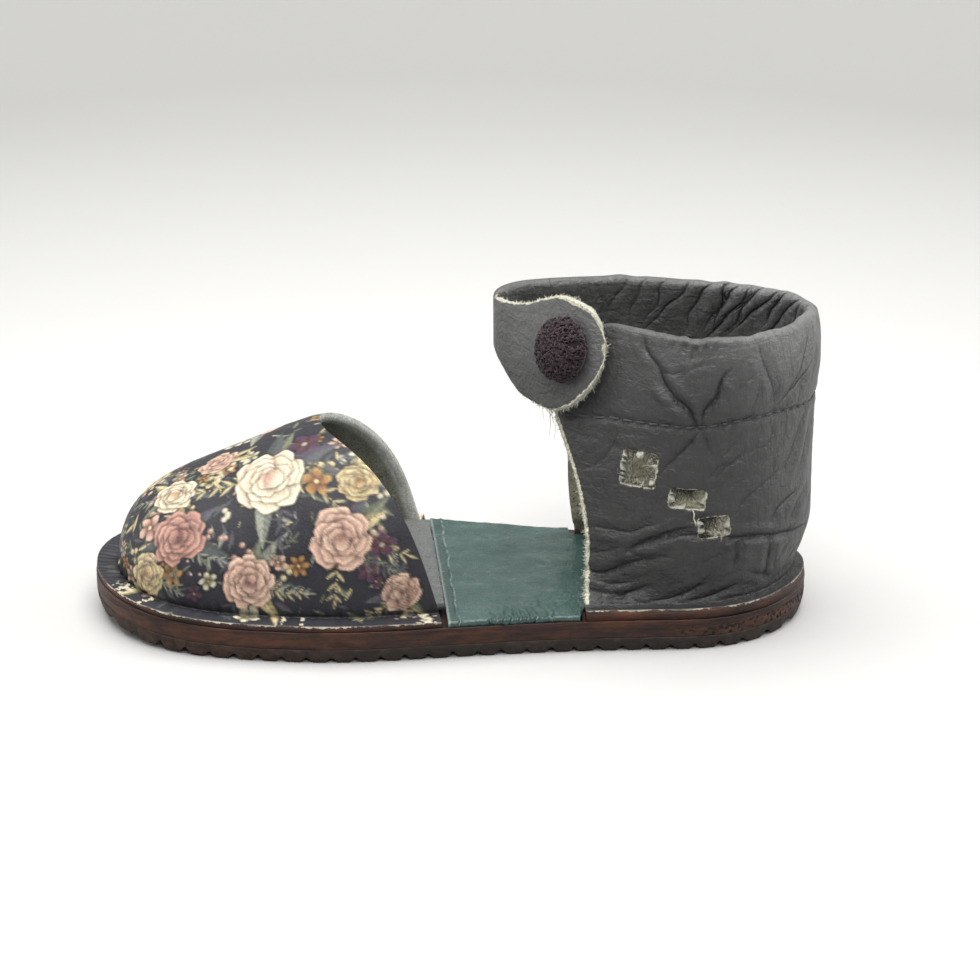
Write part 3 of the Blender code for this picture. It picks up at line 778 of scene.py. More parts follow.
felt_inset = VAMP_INSET + VAMP_WALL + GAP
tip = ring(felt_inset)[:, 0].min()
x = tip + (1 - np.cos(np.linspace(0, np.pi / 2, FELT_COLS + 1))) * (SEAM_X - GAP / 2 - tip)
grid = bed_sheet(x, [(felt_inset, felt_inset)] * len(x), FELT_ROWS)
grid[:, :, 2] += FELT_ROUGH * lumps(grid, 1.1, 5)
felt, row, col = sheet_through("insole_felt", grid)
merge_close(felt)
thicken(felt, INSOLE_THICK + TUCKED, rim=0, inner=0)
smooth_faces(felt)

# %% [markdown]
# Felt is pressed wool: its fibres lie in all directions, and a few pale ones stand out of the
# dark ground. A noise with a strong twist looks like that, and sheen lights the tips of the fibres.

# %% Felt
wool = Finish("grey_felt", 1.0, 0.1, Sheen_Weight=0.3, Sheen_Roughness=0.7)
fibre = wool.grain(0.8, 5, 0.75, twist=3.0)
felt_tone = wool.mix(wool.spread(fibre, 0.38, 0.6), (0.012, 0.015, 0.015), (0.13, 0.143, 0.14))
speck = wool.spread(wool.grain(1.2, 3, twist=2.0), 0.58, 0.72, 0, 0.7)
felt_tone = wool.mix(speck, felt_tone, (0.26, 0.28, 0.275))
wool.bumps((fibre, 0.6), (wool.grain(0.16, 3), 0.12))
dress(felt, wool.paint(felt_tone))

# %% [markdown]
# The teal leather is soft and was glued by hand, so it ripples a little where it is free, and its
# front edge lies proud of the felt. A ridge behind that edge shows where it was pressed. At the open
# waist the outer edge was pulled down round the board, which left a row of short puckers.

# %% Teal leather
QUARTER_INSET = 3.4
QUARTER_WALL = 1.3
WAIST_END = 23.0
WAIST_LEDGES = (0.3, 2.2)
EDGE_RIDGE = 2.2
PUCKER_SPAN = (3.0, 8.0, 15.0, 20.0)
PUCKER_PITCH = 1.5
PUCKER_HIGH = 0.26
PUCKER_REACH = 5.5
TEAL_ROWS = 110
WAIST_COLS = 119
SEAT_COLS = 89

heel_inset = QUARTER_INSET + QUARTER_WALL + GAP
tip = ring(heel_inset)[:, 0].max()
waist = np.linspace(SEAM_X + GAP / 2, WAIST_END, WAIST_COLS + 1)
heel_start = WAIST_END + 0.2
heel_seat = heel_start + np.sin(np.linspace(0, np.pi / 2, SEAT_COLS + 1)) * (tip - heel_start)
x = np.concatenate([waist, heel_seat])
inset = [WAIST_LEDGES] * len(waist) + [(heel_inset, heel_inset)] * len(heel_seat)
grid = bed_sheet(x, inset, TEAL_ROWS)
along = grid[:, :, 0]
to_front = along - SEAM_X - SEAM_SLANT * grid[:, :, 1]
to_line = to_front - EDGE_RIDGE - 0.5 * lumps(grid, 5.0, 9) - 0.2 * lumps(grid, 1.8, 10)
ripple = 0.24 * lumps(grid * (0.5, 1.0, 1.0), 4.5, 6) + 0.1 * lumps(grid * (1.0, 0.6, 1.0), 1.7, 7)
ridge = 0.28 * hump(to_line, 0.3) + 0.1 * hump(to_front, 1.1)
from_side = grid[:, :, 1] - grid[0, :, 1]
reach = PUCKER_REACH * (1 + 0.7 * lumps(grid * (1.0, 0.05, 1.0), 1.6, 11))
puckered = hump(from_side, reach) * soft_step(*PUCKER_SPAN[:2], along)
puckered *= 1 - soft_step(*PUCKER_SPAN[2:], along)
turns = (along + 0.2 * from_side + 0.6 * lumps(grid, 2.5, 8)) / PUCKER_PITCH
ridge += PUCKER_HIGH * puckered * np.cos(2 * np.pi * turns)
grid[:, :, 2] += ripple + ridge
teal, row, col = sheet_through("insole_teal", grid)
write_attribute(teal, "to_front", to_front[row, col])
write_attribute(teal, "to_line", to_line[row, col])
merge_close(teal)
thicken(teal, INSOLE_THICK + TUCKED, rim=1, inner=0)
smooth_faces(teal)

# %% [markdown]
# The teal leather is smooth with a soft gloss, shallow wrinkles with painted shade in their troughs,
# and thin pale scuffs. The strip before the pressed line is darker, and the line itself is rubbed
# pale. Its cut front edge is raw, so it is nearly white there.

# %% Teal finish
dyed = Finish("teal_leather", 0.36, Coat_Weight=0.12, Coat_Roughness=0.25)
wrinkle = dyed.grain(2.4, 5, 0.6, twist=1.4)
fine_wrinkle = dyed.cells(0.9, place=dyed.stretched((1.5, 0.8, 1.0)))
cloud = dyed.spread(dyed.grain(8, 3), 0.3, 0.7)
teal_tone = dyed.mix(cloud, (0.02, 0.049, 0.044), (0.033, 0.071, 0.065))
# Painted shade in the troughs of the wrinkles.
teal_tone = dyed.mix(dyed.spread(wrinkle, 0.46, 0.32, 0, 0.45), teal_tone, (0.012, 0.028, 0.025))
from_line = dyed.read("to_line")
# The strip before the pressed line is darker.
darker_strip = dyed.spread(from_line, -0.2, -0.6, 0, 0.55)
teal_tone = dyed.mix(darker_strip, teal_tone, (0.016, 0.034, 0.031))
on_line = dyed.spread(dyed.math("ABSOLUTE", from_line), 0.24, 0.06)
rubbed_line = dyed.times(on_line, dyed.spread(dyed.grain(1.5, 3), 0.42, 0.6, 0, 0.8))
teal_tone = dyed.mix(rubbed_line, teal_tone, (0.16, 0.21, 0.2))
scratch = dyed.grain(2.0, 3, 0.5, place=dyed.stretched((0.4, 2.4, 1.0)))
teal_tone = dyed.mix(dyed.spread(scratch, 0.66, 0.74, 0, 0.55), teal_tone, (0.15, 0.2, 0.19))
raw = dyed.spread(dyed.read("to_front"), 0.75, 0.35)
teal_tone = dyed.mix(raw, teal_tone, (0.13, 0.17, 0.16))
dyed.bumps((wrinkle, 0.22), (fine_wrinkle, 0.035), (dyed.grain(0.25, 3), 0.008))
teal_leather = dyed.paint(teal_tone, dyed.spread(dyed.grain(1.6, 4), 0.3, 0.7, 0.2, 0.4))
raw_edge = Finish("teal_cut_edge", 0.9, 0.2)
edge_fibre = raw_edge.grain(0.35, 4, 0.7, twist=2.0)
raw_edge.bumps((edge_fibre, 0.2))
dress(teal, teal_leather, raw_edge.paint(raw_edge.mix(edge_fibre, (0.16, 0.2, 0.19), (0.6, 0.63, 0.6))))

# %% [markdown]
# ## Vamp: the printed toe piece
#
# One piece of leather is pulled over the toe, and its lower edge is turned outwards into a flange
# that is stitched to the sole. The outside and the inside are two sheets from the same sections,
# with the leather's thickness between them. The outside has a finer grid, because it carries the
# print, so Solidify is not used here: the borders of the two sheets are bridged instead.

# %% Sections of the vamp
VAMP_SECTIONS = (
    ("x", "crest", "lean"),
    (-63.5, 0.0, 0.0),
    (-62.8, 6.5, 0.0),
    (-60.4, 11.8, 0.5),
    (-56.0, 16.2, 1.0),
    (-50.0, 19.6, 1.2),
    (-44.0, 22.2, 1.2),
    (-38.0, 24.8, 1.0),
    (-30.0, 28.2, 0.8),
    (-24.0, 30.2, 0.6),
    (-14.0, 31.0, 0.3),
    (-2.0, 29.0, 0.0),
)
THROAT = (
    ("angle", "x"),
    (0.0, -3.0),
    (30.0, -8.0),
    (60.0, -16.2),
    (95.0, -24.8),
    (125.0, -18.6),
    (152.0, -10.6),
    (180.0, -5.8),
)
VAMP_FULL = 2.3
VAMP_SQUARE = 2.1
FLANGE_THICK = 1.2
FLANGE_EDGE = 0.2
FLANGE_SHARE = 0.036


def vamp_grid(rows, cols, inset, base, toe_shift, crest_drop):
    """Points of one face of the vamp: rows from toe to throat, columns from medial to lateral."""
    across = np.linspace(0, 1, cols + 1)
    over = np.clip((across - FLANGE_SHARE) / (1 - 2 * FLANGE_SHARE), 0, 1)
    turned_out = np.clip(1 - np.minimum(across, 1 - across) / FLANGE_SHARE, 0, 1)
    angle = 180 * (1 - over)
    turn = np.radians(angle)
    table = columns(VAMP_SECTIONS)
    throat = columns(THROAT)
    reach = cubic(throat["angle"], np.array(throat["x"])[:, None], angle)[:, 0]
    tip = ring(inset)[:, 0].min()
    share = 1 - np.cos(np.linspace(0, np.pi / 2, rows + 1))[:, None]
    x = tip + (reach - tip) * share
    lateral = side_y(x, inset, -1)
    medial = side_y(x, inset, 1)
    crest = steady(table["x"], table["crest"], x - toe_shift)
    crest = crest - crest_drop * np.clip((x - tip) / 4.0, 0, 1)
    rise = np.clip(BED + crest - base, 0, None) * np.clip((x - tip) / 0.3, 0, 1)
    lean = steady(table["x"], table["lean"], x)
    wide = np.sign(np.cos(turn)) * np.abs(np.cos(turn)) ** (2 / VAMP_FULL)
    high = np.abs(np.sin(turn)) ** (2 / VAMP_SQUARE)
    y = (lateral + medial) / 2 - (medial - lateral) / 2 * wide + lean * np.sin(turn) ** 2
    z = base + ground(x) + rise * high
    points = np.stack([x, y, z], axis=2)
    for side, mine in ((1, across < FLANGE_SHARE), (-1, across > 1 - FLANGE_SHARE)):
        index = index_at(x[:, mine], inset, side)
        foot = place(ring(inset), index)
        rim = place(ring(FLANGE_EDGE), index)
        points[:, mine, :2] = foot + (rim - foot) * turned_out[mine][None, :, None]
        points[:, mine, 2] = base + ground(points[:, mine, 0])
    return points


VAMP_ROWS = 256
VAMP_COLS = 320
skin = vamp_grid(VAMP_ROWS, VAMP_COLS, VAMP_INSET, BED + FLANGE_THICK, 0.0, 0.0)
print("vamp girth at the ball in mm:", distance_along(skin[VAMP_ROWS * 2 // 3])[-1].round(1))

# %% [markdown]
# Where the leather turns out into the flange it is gathered: small puckers stand along the corner,
# closest at the toe, where the edge is short and the leather long.

# %% Puckers along the flange
TOE_PUCKER_PITCH = 2.2
TOE_PUCKER_HIGH = 0.24
TOE_PUCKER_REACH = 2.4
TIP_ROWS = 10

skin_out = outward_of(skin)
corner = round(FLANGE_SHARE * VAMP_COLS)
corners = (corner, VAMP_COLS - corner)
girth = distance_along(skin, axis=1)
behind_tip = soft_step(0, TIP_ROWS, np.arange(len(skin)))[:, None]
for column in corners:
    foot_line = skin[:, column]
    foot_mm = distance_along(foot_line)
    phase = 2 * np.pi * foot_mm / TOE_PUCKER_PITCH + 2.2 * lumps(foot_line, 5.0, 12)
    strength = 0.45 + 0.55 * lumps(foot_line, 3.0, 13) + 0.7 * hump(foot_mm, 14)
    fade = hump(girth - girth[:, [column]], TOE_PUCKER_REACH)
    rise = TOE_PUCKER_HIGH * (strength * np.sin(phase))[:, None] * fade * behind_tip
    skin = skin + rise[:, :, None] * skin_out
print("puckers on each side:", int(foot_mm[-1] / TOE_PUCKER_PITCH))

# %% [markdown]
# ## Suede, cut edges and the printed leather
#
# The back of the leather is suede: short fibres that lie in all directions, darker between them.
# A stretched and twisted noise gives the fibres, and sheen gives the soft light along the nap. A
# cut edge shows the same fibres end on, so it is paler and rougher.

# %% Suede and cut edge


def suede_finish(name, dark, pale, fibre_mm, pile_mm, throat=None):
    """Suede with fibres of this size between two tones, and maybe a paler rim along the throat."""
    made = Finish(name, 0.95, 0.15, Sheen_Weight=0.25, Sheen_Roughness=0.6)
    curl = made.grain(fibre_mm, 3, 0.65, twist=2.2)
    strand = made.spread(curl, 0.34, 0.66)
    patch = made.spread(made.grain(6.0, 3), 0.35, 0.7, 0.75, 1.1)
    tone = made.mix(strand, dark, pale)
    if throat is not None:
        uneven = made.math("ADD", made.read("to_throat"), made.spread(curl, 0.3, 0.7, -0.5, 0.5))
        nap = made.spread(made.grain(0.7, 5, 0.75, twist=1.4), 0.36, 0.62)
        band = made.mix(nap, [0.42 * part for part in throat], throat)
        tone = made.mix(made.spread(uneven, 2.4, 1.5), tone, band)
    made.bumps((curl, pile_mm), (made.grain(fibre_mm / 3, 3), pile_mm / 3))
    return made.paint(made.mix(1.0, tone, patch, "MULTIPLY"))


THROAT_TONE = (0.72, 0.73, 0.67)

suede = suede_finish("suede", (0.11, 0.104, 0.068), (0.6, 0.57, 0.43), 0.55, 0.35)
cut_edge = suede_finish("cut_edge", (0.26, 0.26, 0.21), (0.62, 0.62, 0.53), 0.4, 0.2)
toe_suede = suede_finish("toe_suede", (0.07, 0.07, 0.053), (0.38, 0.38, 0.3), 0.6, 0.3, THROAT_TONE)
toe_cut_edge = suede_finish("toe_cut_edge", (0.11, 0.115, 0.105), (0.56, 0.57, 0.53), 0.5, 0.3)
print("suede finishes:", suede.name, cut_edge.name, toe_suede.name, toe_cut_edge.name)

# %% [markdown]
# ### The print
#
# The leather was printed with flowers on charcoal before it was cut. This print is a design of
# its own: full blossoms, small open flowers, berries and leafy sprigs. An image texture would be
# the usual way. Here every flower is a few formulas in its own flat coordinates, laid over the
# vertices round one spot, so the print has no seams.

# %% Colours and spots of the print
INKS = {
    "charcoal": (40, 40, 46),
    "cream": (205, 197, 172),
    "butter": (196, 180, 138),
    "peach": (202, 172, 152),
    "pink": (176, 136, 123),
    "rose": (138, 100, 90),
    "wine": (88, 54, 58),
    "plum": (68, 52, 72),
    "gold": (164, 126, 76),
    "rust": (122, 80, 54),
    "sage": (112, 116, 96),
    "mist": (142, 144, 130),
    "slate": (78, 82, 84),
    "olive": (86, 84, 60),
    "moss": (56, 60, 48),
}


def ink(name):
    """An ink as the linear colour that a shader needs."""
    share = np.array(INKS[name]) / 255
    return ((share + 0.055) / 1.055) ** 2.4


skin_spots = skin.reshape(-1, 3)
skin_normal = outward_of(skin).reshape(-1, 3)
skin_heading = unit(np.gradient(skin, axis=0)).reshape(-1, 3)
skin_aside = np.cross(skin_normal, skin_heading)
tones = np.tile(ink("charcoal"), (len(skin_spots), 1))
tones *= 1 + 0.18 * lumps(skin_spots, 2.5, 14)[:, None]


def spot_at(angle, x):
    """Vertex of the vamp at an angle (0 is the outer side, 180 the inner) and an x."""
    column = round((FLANGE_SHARE + (1 - angle / 180) * (1 - 2 * FLANGE_SHARE)) * VAMP_COLS)
    return int(np.argmin(np.abs(skin[:, column, 0] - x))) * (VAMP_COLS + 1) + column


def step_from(spot, ahead, aside):
    """Vertex at some millimetres ahead and aside of another."""
    there = skin_spots[spot] + ahead * skin_heading[spot] + aside * skin_aside[spot]
    return int(np.argmin(((skin_spots - there) ** 2).sum(axis=1)))


def around(spot, reach, turn):
    """Vertices near a spot, with their flat coordinates turned by an angle."""
    away = skin_spots - skin_spots[spot]
    far = np.linalg.norm(away, axis=1)
    near = np.flatnonzero((far < reach) & (skin_normal @ skin_normal[spot] > -0.2))
    p = away[near] @ skin_heading[spot]
    q = away[near] @ skin_aside[spot]
    stretch = far[near] / np.maximum(np.hypot(p, q), 1e-6)
    c = math.cos(turn)
    s = math.sin(turn)
    return near, (c * p + s * q) * stretch, (c * q - s * p) * stretch


def lay(near, share, colour):
    """Lay a colour over vertices, by a share for each."""
    share = np.clip(share, 0, 1)[:, None]
    tones[near] = tones[near] * (1 - share) + colour * share


print("inks:", len(INKS))

# %% [markdown]
# A petal is an oval with a wavy rim. Its base is darker than its tip, its rim catches the light, and
# it drops a shadow, which only darkens what lies below. Edges are soft over a third of a millimetre,
# which is about one grid step.

# %% Petals and flowers
SOFT = 0.36
BLOSSOM_RINGS = ((0.29, 7), (0.21, 6), (0.13, 5), (0.06, 3))
chance = np.random.default_rng(17)


def petal(near, p, q, turn, from_heart, long, wide, base, tip):
    """One petal, at an angle and a distance from the heart of its flower."""
    along = (math.cos(turn) * p + math.sin(turn) * q - from_heart) / long
    aside = (math.cos(turn) * q - math.sin(turn) * p) / wide
    bearing = np.arctan2(aside, along)
    wavy = 1 + 0.07 * np.sin(3 * bearing + 9 * turn) + 0.04 * np.sin(7 * bearing + turn)
    far = np.hypot(along, aside) * wavy
    tones[near] *= 1 - 0.4 * hump(np.maximum(far - 1, 0) * long, 0.4)[:, None]
    colour = base + (tip - base) * soft_step(-0.8, 0.7, along)[:, None]
    lit = hump(far - 0.85, 0.12) * soft_step(-0.3, 0.5, along)
    veins = np.abs(np.sin(7 * aside + 2 * along))
    light = 1 - 0.13 * veins - 0.25 * soft_step(-0.1, 1.0, aside) + 0.3 * lit
    lay(near, (1 - far) * min(long, wide) / SOFT, colour * light[:, None])


def blossom(spot, size, tip, base, heart):
    """Full blossom: rings of petals from the outside in, each ring smaller and deeper in tone."""
    near, p, q = around(spot, size * 0.62, chance.uniform(0, 6.3))
    q = q * chance.uniform(1.0, 1.2)
    for share, count in BLOSSOM_RINGS:
        start = chance.uniform(0, 6.3)
        for number in range(count):
            turn = start + 2 * np.pi * number / count + chance.uniform(-0.25, 0.25)
            long = size * (0.1 + 0.4 * share) * chance.uniform(0.85, 1.1)
            deep = ink(base) + (ink(heart) - ink(base)) * (0.8 - 2.7 * share)
            pale = ink(tip) + (ink(base) - ink(tip)) * chance.uniform(-0.15, 0.5)
            petal(near, p, q, turn, size * share, long, long * chance.uniform(0.9, 1.25), deep, pale)
    lay(near, (0.04 * size - np.hypot(p, q)) / SOFT, ink(heart))


def open_flower(spot, size, petals, tip, base, eye):
    """Open flower with separate petals and a small eye."""
    near, p, q = around(spot, size * 0.62, chance.uniform(0, 6.3))
    q = q * chance.uniform(1.0, 1.35)
    for number in range(petals):
        turn = 2 * np.pi * number / petals
        petal(near, p, q, turn, size * 0.27, size * 0.24, size * 0.95 / petals, ink(base), ink(tip))
    lay(near, (0.1 * size - np.hypot(p, q)) / SOFT, ink(eye))


print("petals of a blossom:", sum(count for _, count in BLOSSOM_RINGS))

# %% [markdown]
# A leaf has a pale midrib, slanting veins and one half in shade. A sprig is a bent stem with pairs
# of leaves that get smaller towards its tip, and a berry is a small round with a light spot.

# %% Leaves and berries


def blade(spot, long, wide, turn, dark, pale):
    """One leaf that starts at a spot."""
    near, p, q = around(spot, long, turn)
    t = np.clip(p / long, 0, 1)
    half = wide / 2 * np.sin(np.pi * t**0.8) ** 0.8
    vein = 0.5 + 0.5 * np.sin(2 * np.pi * (p - 0.9 * np.abs(q)) / 1.3)
    light = np.where(q > 0, 0.25, 0.75) + 0.3 * vein * (wide > 2.2)
    colour = ink(dark) + (ink(pale) - ink(dark)) * np.clip(light, 0, 1)[:, None]
    shown = np.where((p > 0) & (p < long), (half - np.abs(q)) / SOFT, 0)
    lay(near, shown, colour)
    lay(near, np.minimum(shown, 0.7 - np.abs(q) / 0.25), ink(pale))


def sprig(spot, long, turn, pairs, size, dark, pale):
    """Stem with pairs of leaves."""
    bend = chance.uniform(-0.5, 0.5)
    for number in range(pairs * 3 + 1):
        share = number / (pairs * 3)
        heading = turn + bend * share
        here = step_from(spot, long * share * math.cos(heading), long * share * math.sin(heading))
        near, p, q = around(here, 0.8, 0)
        lay(near, (0.32 - np.hypot(p, q)) / SOFT, ink(pale) * 0.7)
        if number % 3 == 2:
            leaf_long = size * (1.1 - 0.5 * share)
            for side in (-1, 1):
                way = heading + side * chance.uniform(0.5, 0.9)
                blade(here, leaf_long, leaf_long * 0.36, way, dark, pale)
    blade(here, size * 0.7, size * 0.25, turn + bend, dark, pale)


def berries(spot, count, size, tone):
    """Cluster of berries."""
    for _ in range(count):
        here = step_from(spot, *chance.uniform(-1.4 * size, 1.4 * size, 2))
        near, p, q = around(here, size, 0)
        far = np.hypot(p, q)
        lay(near, (size / 2 - far) / SOFT, ink(tone) * 0.75)
        lay(near, (size / 4 - np.hypot(p - 0.12 * size, q - 0.1 * size)) / SOFT, ink("cream"))


print("motifs: blossom, open flower, leaf, sprig, berries")

# %% [markdown]
# The layout has its own rhythm. Small seeded leaves and flowers fill the ground. Every blossom then
# gets leaves, sprigs, berries and small flowers round it, and lies over them itself.

# %% Layout of the print
FILLERS = 400
SMALL_FLOWERS = 46
BESIDE = 0.62
BERRY_TONES = ("butter", "cream", "plum", "pink")
GREENS = (("moss", "sage"), ("slate", "mist"), ("plum", "slate"), ("olive", "butter"), ("moss", "slate"))
SMALL = (
    ("cream", "sage", "gold"),
    ("butter", "olive", "moss"),
    ("peach", "rose", "butter"),
    ("gold", "rust", "butter"),
    ("plum", "wine", "mist"),
)
BLOSSOMS = (
    ("angle", "x", "size", "tip", "base", "heart"),
    (16, -57, 8.5, "butter", "peach", "rust"),
    (72, -52, 9.5, "cream", "peach", "gold"),
    (88, -44, 8.5, "peach", "pink", "rose"),
    (52, -17.5, 8.5, "butter", "gold", "rust"),
    (8, -10, 8.0, "peach", "rose", "wine"),
    (14, -38, 11.0, "peach", "pink", "wine"),
    (40, -51, 12.0, "pink", "rose", "wine"),
    (29, -21, 12.5, "peach", "pink", "rose"),
    (62, -34, 15.5, "cream", "peach", "pink"),
    (118, -34, 14.0, "peach", "pink", "rose"),
    (150, -22, 11.5, "cream", "peach", "gold"),
    (140, -50, 11.0, "pink", "rose", "wine"),
    (168, -40, 9.5, "peach", "pink", "wine"),
    (108, -56, 8.5, "butter", "peach", "rust"),
    (172, -14, 9.0, "cream", "peach", "pink"),
)


def any_of(choices):
    """One of some choices, by chance."""
    return choices[chance.integers(len(choices))]


def any_spot():
    """A spot of the vamp by chance, a little more often towards the toe."""
    return spot_at(chance.uniform(2, 178), -5 - 58 * chance.uniform(0, 1) ** 0.8)


for _ in range(FILLERS):
    long = chance.uniform(1.5, 4.2)
    blade(any_spot(), long, long * chance.uniform(0.2, 0.4), chance.uniform(0, 6.3), *any_of(GREENS))
for _ in range(SMALL_FLOWERS):
    open_flower(any_spot(), chance.uniform(2.6, 5.2), any_of((5, 5, 6)), *any_of(SMALL))
for angle, x, size, *_ in BLOSSOMS[1:]:
    spot = spot_at(angle, x)
    for number in range(4):
        turn = chance.uniform(0, 6.3)
        sprig(spot, size * chance.uniform(0.85, 1.15), turn, 5, size * 0.26, *any_of(GREENS))
        blade(spot, size * chance.uniform(0.75, 1.0), size * 0.24, turn + 1.5, *any_of(GREENS))
        apart = size * BESIDE
        beside = step_from(spot, apart * math.cos(turn + 0.8), apart * math.sin(turn + 0.8))
        if number % 2:
            open_flower(beside, size * chance.uniform(0.35, 0.5), 5, *any_of(SMALL))
        else:
            berries(beside, 4, 1.4, any_of(BERRY_TONES))
for angle, x, *rest in BLOSSOMS[1:]:
    blossom(spot_at(angle, x), *rest)
print("flowers:", SMALL_FLOWERS + 3 * (len(BLOSSOMS) - 1))

# %% [markdown]
# The printed skin has a low gloss and a fine pebble grain. The corner of the flange gets painted
# shade. At the toe the flange was snipped to lie flat, and the snips are painted as stripes of shade
# and highlight. In places its skin is torn off.

# %% Printed leather
CORNER_SHADE = 0.75
CORNER_SHADE_REACH = 0.7
SNIP_PITCH = 1.5
SNIP_REACH = 16.0
TORN = (
    ("x", "reach"),
    (-63.2, 1.4),
    (-58.5, 0.7),
    (-32.0, 0.6),
    (-28.5, 0.4),
    (-5.0, 1.8),
)

# Painted shade along the corner where the leather turns out into the flange.
corner_shade = CORNER_SHADE * sum(hump(girth - girth[:, [column]], CORNER_SHADE_REACH) for column in corners)
tones *= 1 - np.clip(corner_shade, 0, 0.9).reshape(-1, 1)
for rim_at, side in ((0, slice(0, corner)), (VAMP_COLS, slice(-corner, None))):
    rim_line = skin[:, rim_at]
    rim_mm = distance_along(rim_line)
    snips = np.sin(2 * np.pi * rim_mm / SNIP_PITCH + 2 * lumps(rim_line, 3.0, 17))
    snips *= hump(rim_mm, SNIP_REACH)
    # The snips are painted as stripes: darker ones of shade and lighter ones of highlight.
    snip_shade_and_highlight = 1 - 0.6 * soft_step(0.2, 0.8, snips) + 0.7 * soft_step(0.5, 0.9, -snips)
    on_flange = tones.reshape(skin.shape)[:, side]
    on_flange *= snip_shade_and_highlight[:, None, None]
    torn = lumps(skin[:, side], 0.8, 16) - 0.75
    for x, reach in TORN[1:]:
        torn += hump(rim_line[:, 0] - x, reach)[:, None]
    share = soft_step(0.0, 0.18, torn)[:, :, None]
    on_flange += share * (ink("cream") * 0.8 - on_flange)
print("darkest and lightest print:", tones.min().round(3), tones.max().round(3))

# %% [markdown]
# The finish reads the print from the vertices. A fine mottle breaks it up, as ink does on leather,
# and small Voronoi cells give the pebbles of the skin.

# %% Printed skin
printed = Finish("printed_leather", 0.55, 0.3)
print_colour = printed.read("print", "Color")
mottle = printed.spread(printed.grain(0.35, 4, 0.7), 0.3, 0.7, 0.72, 1.14)
pebble = printed.cells(0.55)
printed.bumps((pebble, 0.035), (printed.grain(0.2, 3), 0.015), (printed.grain(2.5, 3), 0.06))
sheen_spots = printed.spread(printed.grain(1.8, 4), 0.3, 0.7, 0.42, 0.6)
printed_leather = printed.paint(printed.mix(1.0, print_colour, mottle, "MULTIPLY"), sheen_spots)
vamp_finishes = (printed_leather, toe_suede, toe_cut_edge, flange_edge)
print("vamp finishes:", [finish.name for finish in vamp_finishes])

# %% Vamp outside
vamp, row, col = sheet_through("vamp_leather", skin)
dress(vamp, *vamp_finishes)
ink_layer = vamp.data.attributes.new("print", "FLOAT_COLOR", "POINT")
painted = np.ones((len(row), 4), np.float32)
painted[:, :3] = tones.reshape(*skin.shape)[row, col]
ink_layer.data.foreach_set("color", painted.ravel())
merge_close(vamp)
print("vamp outside faces:", len(vamp.data.polygons))

# %% [markdown]
# The inside sheet is turned over, so that it faces the foot, and joined to the outside. Both have
# one open border each, along the flange and round the throat.

# %% Vamp inside
VAMP_CREST_WALL = 1.2
LINING_ROWS = 90
LINING_COLS = 120
GLUE = 0.03

back_face = vamp_grid(
    LINING_ROWS, LINING_COLS, VAMP_INSET + VAMP_WALL, MIDSOLE_TOP + GLUE, VAMP_WALL, VAMP_CREST_WALL
)
inside, row, col = sheet_through("vamp_inside", back_face)
dress(inside, *vamp_finishes)
inside.data.polygons.foreach_set("material_index", np.ones(len(inside.data.polygons), np.int32))
write_attribute(inside, "to_throat", distance_along(back_face[::-1])[::-1][row, col])
merge_close(inside)


def turn_over(sheet, upwards):
    """Flip the faces of a sheet if its highest one doesn't point the right way."""
    top = max(sheet.data.polygons, key=lambda face: face.center.z)
    if (top.normal.z > 0) != upwards:
        sheet.data.flip_normals()


turn_over(vamp, True)
turn_over(inside, False)
pick_only(vamp, inside)
bpy.ops.object.join()
two_sheets = len(vamp.data.polygons)
print("faces of both sheets:", two_sheets)

# %% [markdown]
# An edge with only one face is a border. In edge mode the operator for non-manifold parts finds
# both borders at once, and Bridge Edge Loops closes the gap between them. The part of the cut edge
# that lies on the sole is burnished like it, so it takes another finish than the throat.

# %% Cut edge of the vamp
ON_FLANGE = 0.1


def flange_top(x, thick):
    """Height of a flange of this thickness over the floor."""
    return BED + thick + ground(x)


other_faults = ("use_wire", "use_multi_face", "use_non_contiguous", "use_verts")
bpy.ops.object.mode_set(mode="EDIT")
bpy.ops.mesh.select_mode(type="EDGE")
bpy.ops.mesh.select_all(action="DESELECT")
bpy.ops.mesh.select_non_manifold(extend=False, **dict.fromkeys(other_faults, False))
bpy.ops.mesh.bridge_edge_loops()
bpy.ops.object.mode_set(mode="OBJECT")
for face in vamp.data.polygons[two_sheets:]:
    x, _, z = np.array(face.center) / MM - SHIFT
    on_flange = z < flange_top(x, FLANGE_THICK) - ON_FLANGE
    face.material_index = vamp_finishes.index(flange_edge if on_flange else toe_cut_edge)
there = points_of(vamp) / MM - SHIFT
write_attribute(vamp, "below_rim", flange_top(there[:, 0], FLANGE_THICK) - there[:, 2])
smooth_faces(vamp)
print("faces of the cut edge:", len(vamp.data.polygons) - two_sheets)

# %% [markdown]
# ## Quarter: heel wrap, folded collar and strap
#
# The quarter is one sheet of grey leather. Its foot is turned out into a flange, the wall goes
# round the heel, the top is folded inwards to make the collar, and the inner front runs on as a
# strap that crosses the ankle and buttons on the outer side. One grid holds all of it: its rows
# are flange, wall, fold and the leaf inside, and its columns go round the heel and on into the
# strap. Where the strap has no wall below it, the faces are deleted.

